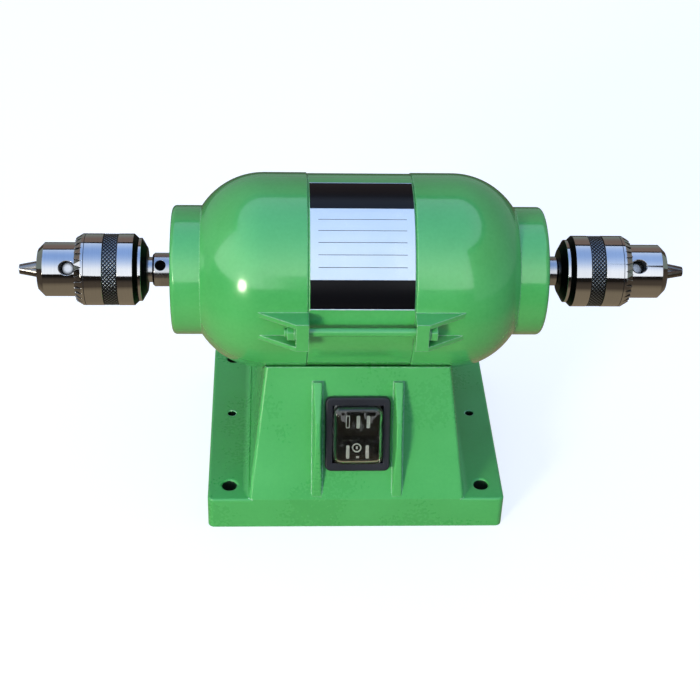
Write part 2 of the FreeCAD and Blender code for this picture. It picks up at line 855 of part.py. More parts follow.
def tie_bolts():
    """Builds the two long bolts that clamp the bells, with nuts and washers."""
    bolts = []
    nuts = []
    washers = []
    seat = "lug_end + washer_thickness"
    for y in ("tie_offset", "-tie_offset"):
        stem = rod("tie_radius", f"2 * ({seat}) + tie_nut_height + tie_end",
                   (f"-({seat}) - tie_nut_height - tie_end", y, "axis_height"), ALONG_X)
        head = hexagon("tie_nut_flats", "tie_nut_height", (seat, y, "axis_height"), ALONG_X)
        bolts.append(fuse(stem, head))
        nut = hexagon("tie_nut_flats", "tie_nut_height", (f"-({seat}) - tie_nut_height", y, "axis_height"),
                      ALONG_X)
        thread = rod("tie_radius + screw_gap", "tie_nut_height + 2",
                     (f"-({seat}) - tie_nut_height - 1", y, "axis_height"), ALONG_X)
        nuts.append(cut(nut, thread))
        for start in (f"-({seat})", "lug_end"):
            disc = rod("washer_radius", "washer_thickness", (start, y, "axis_height"), ALONG_X)
            eye = rod("tie_radius + tie_clearance", "washer_thickness + 2",
                      (f"{start} - 1", y, "axis_height"), ALONG_X)
            washers.append(cut(disc, eye))
    publish("tie_bolts", group(*bolts))
    publish("tie_nuts", group(*nuts))
    publish("tie_washers", group(*washers))


def around(count, make):
    """Repeats a piece evenly about the X axis."""
    pieces = []
    for index in range(count):
        piece = make()
        turn = Rotation(Vector(1, 0, 0), 360 * index / count)
        piece.Placement = Placement(Vector(), turn).multiply(piece.Placement)
        pieces.append(piece)
    return pieces


def bar_at(radius, circle, length):
    """Adds a round bar parallel to X at a distance from the axis."""
    thing = document.addObject("Part::Cylinder", "bar")
    bind(thing, "Radius", radius)
    bind(thing, "Height", length)
    start = Vector(-measure(length) / 2, 0, measure(circle))
    thing.Placement = Placement(start, Rotation(*ALONG_X))
    return thing


def stator():
    """Builds the slotted stator core and the winding that fills its slots."""
    count = int(measure("slot_count"))
    half = "stack_length / 2"
    core = ring(f"-{half}", half, "stator_inner", "stator_outer")
    slots = around(count, lambda: bar_at("slot_radius", "slot_circle", "stack_length + 4"))
    publish("stator_core", on_axis(cut(core, *slots)))
    inner = f"{half} + 0.4"
    heads = [
        turned([
            (f"{sign} * ({inner})", "winding_inner"),
            (f"{sign} * (winding_end - 2)", "winding_inner"),
            (f"{sign} * winding_end", "winding_inner + 2"),
            (f"{sign} * winding_end", "winding_outer - 3"),
            (f"{sign} * (winding_end - 3)", "winding_outer"),
            (f"{sign} * ({inner})", "winding_outer"),
        ])
        for sign in (1, -1)
    ]
    bars = around(count, lambda: bar_at("slot_radius - slot_liner", "slot_circle", "stack_length + 4"))
    publish("stator_winding", on_axis(fuse(*heads, *bars)))


def rotor():
    """Builds the shaft, the rotor core and its two cage rings."""
    left_end = "(spindle_end + left_chuck_shift)"
    right_end = "(spindle_end + right_chuck_shift)"
    shaft = turned([
        (f"-{left_end}", "0"),
        (f"-{left_end}", "spindle_radius - shaft_chamfer"),
        (f"-{left_end} + shaft_chamfer", "spindle_radius"),
        ("-adapter_start + 0.2", "spindle_radius"),
        ("-adapter_start + 0.2", "bearing_bore"),
        ("-bearing_start", "bearing_bore"),
        ("-bearing_start", "core_shaft_radius"),
        ("bearing_start", "core_shaft_radius"),
        ("bearing_start", "bearing_bore"),
        ("adapter_start - 0.2", "bearing_bore"),
        ("adapter_start - 0.2", "spindle_radius"),
        (f"{right_end} - shaft_chamfer", "spindle_radius"),
        (right_end, "spindle_radius - shaft_chamfer"),
        (right_end, "0"),
    ])
    publish("shaft", on_axis(shaft))
    half = "stack_length / 2"
    publish("rotor_core", on_axis(ring(f"-{half}", half, "core_shaft_radius + press_gap", "rotor_radius")))
    rings = [
        ring(f"{half} + 0.02", f"{half} + cage_length", "cage_inner", "rotor_radius - 0.5"),
        ring(f"-{half} - cage_length", f"-{half} - 0.02", "cage_inner", "rotor_radius - 0.5"),
    ]
    publish("rotor_cage", on_axis(group(*rings)))


def ball_at():
    """Adds one bearing ball on the ball circle."""
    ball = document.addObject("Part::Sphere", "ball")
    bind(ball, "Radius", "ball_radius")
    ball.Placement = Placement(Vector(measure("bearing_middle"), 0, measure("ball_circle")), Rotation())
    return ball


def pocket_at():
    """Adds the round pocket that clears one ball in the cage."""
    ball = document.addObject("Part::Sphere", "pocket")
    bind(ball, "Radius", "race_radius")
    ball.Placement = Placement(Vector(measure("bearing_middle"), 0, measure("ball_circle")), Rotation())
    return ball


def bearing(side):
    """Builds one ball bearing: rings, balls and cage."""
    inner_land = "ball_circle - race_land"
    outer_land = "ball_circle + race_land"
    publish(f"{side}_bearing_inner", on_axis(turned([
        ("bearing_start", "bearing_bore + press_gap"),
        ("bearing_end", "bearing_bore + press_gap"),
        ("bearing_end", inner_land),
        ("bearing_middle + race_half", inner_land, "race_radius", -1),
        ("bearing_middle - race_half", inner_land),
        ("bearing_start", inner_land),
    ]), side))
    publish(f"{side}_bearing_outer", on_axis(turned([
        ("bearing_start", "bearing_radius"),
        ("bearing_start", outer_land),
        ("bearing_middle - race_half", outer_land, "race_radius", -1),
        ("bearing_middle + race_half", outer_land),
        ("bearing_end", outer_land),
        ("bearing_end", "bearing_radius"),
    ]), side))
    count = int(measure("ball_count"))
    publish(f"{side}_bearing_balls", on_axis(group(*around(count, ball_at)), side))
    hoop = ring("bearing_middle - ball_cage_width / 2", "bearing_middle + ball_cage_width / 2",
                "ball_circle - ball_cage_thickness / 2", "ball_circle + ball_cage_thickness / 2")
    publish(f"{side}_bearing_cage", on_axis(cut(hoop, *around(count, pocket_at)), side))


def preload_washers():
    """Builds the thin washers between each bearing and its shoulder."""
    start = "bearing_end + (preload_gap - preload_thickness) / 2"
    inner = "ball_circle + race_land + 0.5"
    outer = "bearing_radius - 0.2"
    pieces = [
        ring(start, f"{start} + preload_thickness", inner, outer),
        ring(f"-({start}) - preload_thickness", f"-({start})", inner, outer),
    ]
    publish("preload_washers", on_axis(group(*pieces)))


def shaft_seal(side):
    """Builds the rubber seal between a boss and the adapter."""
    back = "boss_end - seal_width + 0.1"
    front = "boss_end - 0.3"
    lip = f"{side}_adapter_radius + seal_gap"
    publish(f"{side}_shaft_seal", on_axis(turned([
        (back, lip),
        (f"{front} - 0.8", lip),
        (front, f"{lip} + 0.8"),
        (front, "seal_radius - press_gap"),
        (back, "seal_radius - press_gap"),
    ]), side))


def adapter(side):
    """Builds the adapter that carries a chuck on the spindle."""
    radius = f"{side}_adapter_radius"
    bore_end = f"spindle_end + {side}_chuck_shift + 0.5"
    seat = f"(chuck_start + {side}_chuck_shift)"
    end = f"({seat} - {side}_neck)"
    form = turned([
        ("adapter_start", "spindle_radius + press_gap"),
        (bore_end, "spindle_radius + press_gap"),
        (bore_end, "0"),
        (f"{seat} + taper_length", "0"),
        (f"{seat} + taper_length", "taper_end_radius"),
        (seat, "taper_radius"),
        (end, "taper_radius"),
        (end, f"{radius} - adapter_chamfer"),
        (f"{end} - adapter_chamfer", radius),
        ("adapter_start", radius),
    ])
    at = f"set_screw_at + {side}_chuck_shift"
    hole = rod("set_screw_radius + screw_gap", f"{radius} + 2", (at, "0", "0"))
    elevation = measure(f"{side}_set_screw_angle")
    publish(f"{side}_adapter", on_axis(cut(form, hole), side, facing_front(side, elevation)))


def set_screw(side):
    """Builds one socket set screw in its adapter."""
    length = f"({side}_adapter_radius - set_screw_recess - spindle_radius - 2 * press_gap)"
    start = "spindle_radius + 2 * press_gap"
    at = f"set_screw_at + {side}_chuck_shift"
    body = rod("set_screw_radius", length, (at, "0", start))
    socket = hexagon("2 * set_screw_socket", "1.5", (at, "0", f"{start} + {length} - 0.9"),
                     (Vector(0, 0, 1), "0"))
    return on_axis(cut(body, socket), side, facing_front(side, measure(f"{side}_set_screw_angle")))


def jaw_rod(radius, rear, front):
    """Adds a bar on a jaw's slanted line, between two distances along the chuck."""
    thing = document.addObject("Part::Cylinder", "slant")
    bind(thing, "Radius", radius)
    bind(thing, "Height", f"(({front}) - ({rear})) / cos(jaw_angle)")
    height = measure(f"-jaw_tip_shift + (jaw_tip - ({rear})) * tan(jaw_angle)")
    start = Vector(measure(rear), 0, height)
    thing.Placement = Placement(start, Rotation(Vector(0, 1, 0), 90 + measure("jaw_angle")))
    return thing


def key_phase(side):
    """Gives the turn about X that faces a chuck's first key hole to the front."""
    return facing_front(side, measure(f"{side}_key_angle"))


def key_hole():
    """Adds one hole for the pilot of the chuck key, with a broken edge."""
    depth = "chuck_nose_radius - key_hole_floor + 1"
    hole = rod("key_hole_radius", depth, ("chuck_start + key_hole_at", "0", "key_hole_floor"))
    rim = primitive(
        "Part::Cone",
        {"Radius1": "key_hole_radius", "Radius2": "key_hole_radius + 3 * key_hole_chamfer",
         "Height": "3 * key_hole_chamfer"},
        ("chuck_start + key_hole_at", "0", "chuck_nose_radius - 1.5 * key_hole_chamfer"),
    )
    return group(hole, rim)


def chuck_body(side):
    """Builds a chuck body: rear cone, barrel, nut groove, nose, key holes and jaw bores."""
    form = turned([
        ("chuck_start", "taper_radius + press_gap / 2"),
        ("chuck_start", "chuck_cone_radius"),
        ("chuck_start + chuck_cone_length", "chuck_collar_radius"),
        ("collar_front", "chuck_collar_radius"),
        ("collar_front", "chuck_barrel_radius"),
        ("groove_back", "chuck_barrel_radius"),
        ("groove_back", "nut_core_radius"),
        ("groove_front", "nut_core_radius"),
        ("groove_front", "chuck_nose_radius"),
        ("nose - chuck_nose_chamfer", "chuck_nose_radius"),
        ("nose", "chuck_nose_radius - chuck_nose_chamfer"),
        ("nose", "chuck_bore_radius"),
        ("chuck_start + socket_depth", "chuck_bore_radius"),
        ("chuck_start + socket_depth", "socket_end_radius"),
    ])
    keys = around(3, key_hole)
    bores = []
    for index in range(3):
        bore = jaw_rod("jaw_radius + jaw_gap", "chuck_start + jaw_bore_rear - 0.3", "jaw_tip")
        turn = Rotation(Vector(1, 0, 0), 60 + 120 * index)
        bore.Placement = Placement(Vector(), turn).multiply(bore.Placement)
        bores.append(bore)
    publish(f"{side}_chuck_body", on_chuck(cut(form, *keys, *bores), side, key_phase(side)))


def tooth_gap():
    """Adds the wedge-shaped gap between two bevel teeth, widest at the front of the sleeve."""
    fields = {
        "Ymin": "0",
        "Ymax": "tooth_length + 0.5",
        "Xmin": "-tooth_space / 2",
        "Xmax": "tooth_space / 2",
        "X2min": "0",
        "X2max": "0",
        "Zmin": "sleeve_radius - tooth_drop - tooth_depth",
        "Zmax": "sleeve_radius + 1",
        "Z2min": "sleeve_radius",
        "Z2max": "sleeve_radius + 1",
    }
    return primitive("Part::Wedge", fields, ("sleeve_front + 0.5", "0", "0"), (Vector(0, 0, 1), "90"))


def chuck_sleeve(side):
    """Builds a chuck's turning sleeve with its band and bevel teeth."""
    recess = "sleeve_radius - band_depth"
    band = "(sleeve_back + band_start)"
    form = turned([
        ("sleeve_back", "sleeve_bore"),
        ("sleeve_front - sleeve_lip", "sleeve_bore"),
        ("sleeve_front - sleeve_lip", "sleeve_mouth"),
        ("sleeve_front", "sleeve_mouth"),
        ("sleeve_front", "sleeve_radius - tooth_drop"),
        ("sleeve_front - tooth_bevel", "sleeve_radius"),
        (f"{band} + band_width", "sleeve_radius"),
        (f"{band} + band_width", recess),
        (band, recess),
        (band, "sleeve_radius"),
        ("sleeve_back + sleeve_edge", "sleeve_radius"),
        ("sleeve_back", "sleeve_radius - sleeve_edge"),
    ])
    gaps = around(int(measure("tooth_count")), tooth_gap)
    publish(f"{side}_chuck_sleeve", on_chuck(cut(form, *gaps), side, key_phase(side)))


def chuck_nut(side):
    """Builds the split nut that rides in the sleeve around the jaws."""
    form = turned([
        ("nut_back", "jaw_line_nut_back + nut_gap"),
        ("nut_front", "jaw_line_nut_front + nut_gap"),
        ("nut_front", "sleeve_bore - press_gap"),
        ("nut_back", "sleeve_bore - press_gap"),
    ])
    slit = box(("nut_back - 1", "-sleeve_radius", "-nut_split / 2"),
               ("nut_width + 2", "2 * sleeve_radius", "nut_split"))
    publish(f"{side}_chuck_nut", on_chuck(cut(form, slit), side, key_phase(side)))


def jaw(side, index):
    """Builds one jaw, closed on the axis, with its two grip faces."""
    bar = jaw_rod("jaw_radius", "chuck_start + jaw_rear", "jaw_tip + 3")
    room = measure("jaw_reach")
    trims = []
    for sign in (1, -1):
        slab = document.addObject("Part::Box", "grip_face")
        for field in ("Length", "Width", "Height"):
            bind(slab, field, "jaw_reach")
        bind(slab, "Length", "jaw_reach * 2")
        low = -measure("jaw_face_gap") if sign > 0 else measure("jaw_face_gap") - room
        tilt = Placement(Vector(), Rotation(Vector(1, 0, 0), -60 * sign))
        corner = Vector(measure("chuck_start"), low, -room / 2)
        slab.Placement = tilt.multiply(Placement(corner, Rotation()))
        trims.append(slab)
    trims.append(box(("jaw_tip", "-jaw_radius * 2", "-jaw_radius * 3"),
                     ("10", "jaw_radius * 4", "jaw_radius * 6")))
    phase = key_phase(side) + 60 + 120 * (index - 1)
    publish(f"{side}_jaw_{index}", on_chuck(cut(bar, *trims), side, phase))


def rounded_slab(width, height, thickness, corner):
    """Pads a rectangle with rounded corners, middle at the origin."""
    x = f"({width}) / 2"
    y = f"({height}) / 2"
    body = raised("XY_Plane", [
        (f"-{x} + {corner}", f"-{y}"),
        (f"{x} - {corner}", f"-{y}", corner, 1),
        (x, f"-{y} + {corner}"),
        (x, f"{y} - {corner}", corner, 1),
        (f"{x} - {corner}", y),
        (f"-{x} + {corner}", y, corner, 1),
        (f"-{x}", f"{y} - {corner}"),
        (f"-{x}", f"-{y} + {corner}", corner, 1),
    ], thickness)
    return body


def switch_housing():
    """Builds the switch body with its bezel, open at the front for the rocker."""
    at = ("0", "switch_at", "0")
    bezel = rounded_slab("bezel_width", "bezel_height", "bezel_thickness", "bezel_corner")
    front = measure("bezel_thickness")
    soft = rounded(bezel, [(lambda edge: edge.BoundBox.ZMin > front - 0.01, "bezel_thickness * 0.3")])
    body = box(("-switch_body_width / 2", "-switch_body_height / 2", "-switch_depth"),
               ("switch_body_width", "switch_body_height", "switch_depth"))
    cavity = box(("-switch_window_width / 2", "-switch_window_height / 2", "-switch_cavity_depth"),
                 ("switch_window_width", "switch_window_height",
                  "switch_cavity_depth + bezel_thickness + 1"))
    pivot = rod("switch_pin_radius + pin_gap", "switch_body_width + 2",
                ("-switch_body_width / 2 - 1", "0", "-switch_pin_depth"), ALONG_X)
    publish("switch_housing", on_panel(cut(fuse(soft, body), cavity, pivot), at))
    pin = rod("switch_pin_radius", "switch_body_width",
              ("-switch_body_width / 2", "0", "-switch_pin_depth"), ALONG_X)
    publish("switch_pin", on_panel(group(pin), at))
    tabs = [
        box((f"{x} - terminal_width / 2", f"{y} - terminal_thickness / 2",
             "-switch_depth - terminal_length"),
            ("terminal_width", "terminal_thickness", "terminal_length"))
        for x, y in quad("terminal_spacing_x / 2", "terminal_spacing_y / 2")
    ]
    publish("switch_terminals", on_panel(group(*tabs), at))


def switch_rocker():
    """Builds the rocker, resting with its lower half pressed in."""
    end = "rocker_length / 2"
    form = raised("YZ_Plane", [
        (f"-{end}", "-rocker_floor"),
        (end, "-rocker_floor"),
        (end, "rocker_end"),
        ("0", "rocker_middle"),
        (f"-{end}", "rocker_end"),
    ], "rocker_width", centred=True)
    trunnion = rod("rocker_floor", "rocker_width", ("-rocker_width / 2", "0", "-switch_pin_depth"), ALONG_X)
    pivot = rod("switch_pin_radius + pin_gap", "rocker_width + 2",
                ("-rocker_width / 2 - 1", "0", "-switch_pin_depth"), ALONG_X)
    rocker = cut(fuse(form, trunnion), pivot)
    on_panel(rocker, ("0", "switch_at", "0"))
    hinge = Placement(Vector(0, 0, -measure("switch_pin_depth")), Rotation())
    tilt = Placement(Vector(), Rotation(Vector(1, 0, 0), measure("rocker_tilt")))
    rocker.Placement = rocker.Placement.multiply(hinge).multiply(tilt).multiply(hinge.inverse())
    publish("switch_rocker", rocker)


def switch_cover():
    """Builds the clear cap over the rocker."""
    rise = "(cover_height - cover_foot)"
    outer = box(("-cover_width / 2", "-cover_length / 2", "cover_foot"),
                ("cover_width", "cover_length", rise))
    foot = measure("cover_foot")
    shell = rounded(outer, [(lambda edge: edge.BoundBox.ZMax > foot + 0.1, "cover_edge")])
    room = box(
        ("-cover_width / 2 + cover_wall", "-cover_length / 2 + cover_wall", "cover_foot - 2"),
        ("cover_width - 2 * cover_wall", "cover_length - 2 * cover_wall", f"{rise} + 2 - cover_wall"),
    )
    hollow = rounded(room, [(lambda edge: edge.BoundBox.ZMax > foot + 0.1, "cover_edge - cover_wall")])
    publish("switch_cover", on_panel(cut(shell, hollow), ("0", "switch_at", "0")))


def capacitor():
    """Builds the run capacitor and the strap that holds it on the bottom plate."""
    can = rod("capacitor_radius", "capacitor_length",
              ("-capacitor_length / 2", "capacitor_shift", "capacitor_height"), ALONG_X)
    publish("capacitor", group(can))
    inner = "(capacitor_radius + clamp_gap)"
    hoop = rod(f"{inner} + clamp_thickness", "clamp_width",
               ("-clamp_width / 2", "capacitor_shift", "capacitor_height"), ALONG_X)
    foot = box(("-clamp_width / 2", "capacitor_shift - clamp_foot / 2", "plate_top + 0.05"),
               ("clamp_width", "clamp_foot", "clamp_thickness"))
    room = rod(inner, "clamp_width + 2",
               ("-clamp_width / 2 - 1", "capacitor_shift", "capacitor_height"), ALONG_X)
    publish("capacitor_clamp", cut(fuse(hoop, foot), room))


def terminal_block():
    """Builds the terminal block on the bottom plate, with three wire holes."""
    block = box(("-block_length / 2", "-block_y - block_width / 2", "plate_top + 0.05"),
                ("block_length", "block_width", "block_height"))
    holes = [
        rod("block_hole_radius", "block_height",
            (f"{step} * block_length / 3", "-block_y", "plate_top + block_height / 2"))
        for step in (-1, 0, 1)
    ]
    publish("terminal_block", cut(block, *holes))


def cord_gland():
    """Builds the cord gland in the rear panel and its nut."""
    grip = "gland_head_length"
    form = turned([
        ("-tower_wall - gland_tail", "gland_bore_radius"),
        (grip, "gland_bore_radius"),
        (grip, "gland_head_radius - 2.5"),
        (f"{grip} - 2.5", "gland_head_radius"),
        ("0", "gland_head_radius"),
        ("0", "gland_thread_radius"),
        ("-tower_wall - gland_tail", "gland_thread_radius"),
    ])
    place(form, ("0", "gland_at", "0"), (Vector(0, 1, 0), "-90"))
    publish("cord_gland", on_panel(group(form), rear=True))
    nut = hexagon("gland_nut_radius * 2", "gland_nut_height",
                  ("0", "gland_at", "-tower_wall - gland_nut_height"), (Vector(0, 0, 1), "0"))
    thread = rod("gland_thread_radius + screw_gap", "gland_nut_height + 2",
                 ("0", "gland_at", "-tower_wall - gland_nut_height - 1"))
    publish("gland_nut", on_panel(group(cut(nut, thread)), rear=True))


def lead_grommet():
    """Builds the rubber bush where the motor leads pass from the left bell into the base."""
    low = "-roof_radius - grommet_lip - 0.3"
    bush = turned([
        (low, "grommet_radius - grommet_wall"),
        ("-bell_radius + bell_wall", "grommet_radius - grommet_wall"),
        ("-bell_radius + bell_wall", "grommet_radius"),
        ("-roof_radius - 0.3", "grommet_radius"),
        ("-roof_radius - 0.3", "grommet_radius + grommet_lip"),
        (low, "grommet_radius + grommet_lip"),
    ])
    publish("lead_grommet", upward(bush, "-grommet_shift", "0", "axis_height"))


def lead(corners, radii):
    """Sweeps one insulated lead along straight runs that tangent arcs join at the corners."""
    edges = []
    start = corners[0]
    for before, corner, after, radius in zip(corners, corners[1:], corners[2:], radii):
        inward = (before - corner).normalize()
        onward = (after - corner).normalize()
        half = inward.getAngle(onward) / 2
        bisector = (inward + onward).normalize()
        first = corner + inward * (radius / math.tan(half))
        middle = corner + bisector * (radius / math.sin(half) - radius)
        last = corner + onward * (radius / math.tan(half))
        edges.append(Part.LineSegment(start, first).toShape())
        edges.append(Part.Arc(first, middle, last).toShape())
        start = last
    edges.append(Part.LineSegment(start, corners[-1]).toShape())
    heading = corners[1] - corners[0]
    circle = Part.Wire([Part.Circle(corners[0], heading, measure("lead_radius")).toShape()])
    return Part.Wire(edges).makePipeShell([circle], True, True)


def internal_leads():
    """Builds the motor leads: down through the grommet, across to the terminal block and into it."""
    bush = Vector(-measure("grommet_shift"), 0, 0)
    block = Vector(0, -measure("block_y"), 0)
    aside = Vector(0, 0, 1).cross(block - bush).normalize() * measure("lead_spacing")
    heights = ["axis_height - winding_outer - lead_gap", "block_top + lead_rise", "block_top - lead_depth"]
    top, across, end = [Vector(0, 0, measure(height)) for height in heights]
    radii = [measure("lead_bend"), measure("lead_end_bend")]
    leads = []
    for step in (-1, 0, 1):
        enters = bush + aside * step
        goal = block + Vector(step * measure("block_length") / 3, 0, 0)
        leads.append(lead([enters + top, enters + across, goal + across, goal + end], radii))
    thing = document.addObject("Part::Feature", "internal_leads")
    thing.Shape = Part.makeCompound(leads)
    publish("internal_leads", thing)


def build():
    """Builds every sub-part."""
    base_casting()
    bottom_cover()
    saddle_screws()
    centre_shell()
    rating_plate()
    tie_bolts()
    stator()
    rotor()
    preload_washers()
    for side in SIDES:
        end_bell(side)
        bearing(side)
        shaft_seal(side)
        adapter(side)
        chuck_body(side)
        chuck_sleeve(side)
        chuck_nut(side)
        for index in (1, 2, 3):
            jaw(side, index)
    publish("adapter_set_screws", group(*[set_screw(side) for side in SIDES]))
    switch_housing()
    switch_rocker()
    switch_cover()
    capacitor()
    terminal_block()
    cord_gland()
    lead_grommet()
    internal_leads()


def export():
    """Checks every object and writes each sub-part to its own file."""
    document.recompute()
    for thing in document.Objects:
        if "Invalid" in thing.State or "Error" in thing.State:
            raise RuntimeError(f"{thing.Label} did not compute")
    os.makedirs("parts", exist_ok=True)
    for thing in finished:
        if thing.Shape.isNull() or not thing.Shape.isValid():
            raise RuntimeError(f"{thing.Label} has no valid shape")
        thing.Shape.exportStep(f"parts/{thing.Label}.step")


build()
export()
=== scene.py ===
"""Looks of a double-ended bench grinder motor with a keyed drill chuck on each end of its shaft.

The script is in metres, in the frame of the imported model: X along the shaft, Y away from the switch,
Z up, origin on the bench under the middle of the motor. Sizes in the classes are in millimetres.
"""

import json
import logging
import math
from dataclasses import dataclass, replace
from enum import Enum
from typing import Any

import bmesh
import bpy
import numpy as np
from mathutils import Matrix, Vector


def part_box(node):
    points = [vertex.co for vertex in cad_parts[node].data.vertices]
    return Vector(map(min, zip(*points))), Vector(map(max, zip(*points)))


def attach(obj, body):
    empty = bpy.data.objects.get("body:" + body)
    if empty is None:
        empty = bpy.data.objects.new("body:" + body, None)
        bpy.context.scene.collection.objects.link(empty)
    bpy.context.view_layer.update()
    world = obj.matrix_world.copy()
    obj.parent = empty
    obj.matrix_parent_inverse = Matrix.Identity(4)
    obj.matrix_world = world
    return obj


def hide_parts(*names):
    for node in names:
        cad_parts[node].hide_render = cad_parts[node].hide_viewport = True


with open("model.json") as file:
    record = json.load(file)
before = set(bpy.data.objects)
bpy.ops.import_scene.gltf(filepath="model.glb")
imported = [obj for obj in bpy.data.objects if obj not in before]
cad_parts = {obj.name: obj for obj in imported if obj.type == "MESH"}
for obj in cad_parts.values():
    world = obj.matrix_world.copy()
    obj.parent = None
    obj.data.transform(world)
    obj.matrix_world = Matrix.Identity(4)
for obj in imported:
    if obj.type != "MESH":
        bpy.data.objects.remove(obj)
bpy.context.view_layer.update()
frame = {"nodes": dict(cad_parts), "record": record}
LOG = logging.getLogger("bench_grinder")
MM = 0.001
AXIS_HEIGHT = 108.4
# Share of the fine marks in the pattern, and the values between which it goes from deep to pale.
MARK_SHARE = 0.35
PATTERN_ENDS = (0.45, 0.9)
# Likeness of the rounded normal to the flat one where the pale edge starts and where it is full, and its
# strength; the pale edge is partly wear and partly a painted highlight.
EDGE_WEAR_AND_HIGHLIGHT_ENDS = (0.97, 0.82)
EDGE_WEAR_AND_HIGHLIGHT_STRENGTH = 1.3
# Share of open sky at which the painted shade in a gap starts and at which it is full.
GAP_SHADE_ENDS = (0.88, 0.55)
# Distance in mm under which points are one, and angle in degrees past which an edge is sharp.
WELD = 0.002
SHARP = 38

Tree = bpy.types.NodeTree
Socket = bpy.types.NodeSocket
Area = tuple[Socket, Socket, str]
Stops = tuple[tuple[float, str], ...]


class Side(Enum):
    """The two ends of the shaft, by the sign of X."""

    LEFT = -1
    RIGHT = 1

    @property
    def label(self) -> str:
        """The word that the node names start with."""
        return self.name.lower()


class Grain(Enum):
    """How the fine marks of a surface run, as scales of a pattern along X, Y and Z."""

    EVEN = (1.0, 1.0, 1.0)
    TURNED = (1.0, 0.03, 0.03)
    STACKED = (1.0, 0.002, 0.002)


def linear(code: str) -> tuple[float, float, float, float]:
    """Turn an sRGB hex colour into linear light.

    Args:
        code: Colour as "#rrggbb".

    Returns:
        Red, green, blue and an alpha of 1.
    """
    parts = np.array([int(code[i:i + 2], 16) for i in (1, 3, 5)]) / 255
    light = np.where(parts <= 0.04045, parts / 12.92, ((parts + 0.055) / 1.055) ** 2.4)
    return (*(float(part) for part in light), 1.0)


def heading(azimuth: float, elevation: float) -> Vector:
    """Direction out from the object.

    Args:
        azimuth: Turn in degrees, 0 at the front and 90 at the right.
        elevation: Angle above the horizon in degrees.

    Returns:
        A vector of length 1.
    """
    turn, rise = math.radians(azimuth), math.radians(elevation)
    return Vector((math.sin(turn) * math.cos(rise), -math.cos(turn) * math.cos(rise), math.sin(rise)))


def cleared(owner: bpy.types.Material | bpy.types.World) -> Tree:
    """Empty the node tree of a material or a world.

    Args:
        owner: The new material or world.

    Returns:
        Its node tree.
    """
    owner.use_nodes = True
    owner.node_tree.nodes.clear()
    return owner.node_tree


def add_node(tree: Tree, kind: str, settings: dict[str, Any] | None = None,
             inputs: dict[str | int, Any] | None = None) -> bpy.types.Node:
    """Add a shader node, set its options and fill or link its inputs.

    Args:
        tree: Node tree that gets the node.
        kind: Node type without the leading "ShaderNode".
        settings: Options by attribute name; "stops" holds a ramp's places and hex colours.
        inputs: Values, or output sockets to link, by input name or number.

    Returns:
        The new node.
    """
    node = tree.nodes.new("ShaderNode" + kind)
    for name, value in (settings or {}).items():
        if name == "stops":
            elements = node.color_ramp.elements
            while len(elements) < len(value):
                elements.new(0.5)
            for element, (place, code) in zip(elements, value):
                element.position = place
                element.color = linear(code)
        else:
            setattr(node, name, value)
    for key, value in (inputs or {}).items():
        if isinstance(value, Socket):
            tree.links.new(value, node.inputs[key])
        else:
            node.inputs[key].default_value = value
    return node


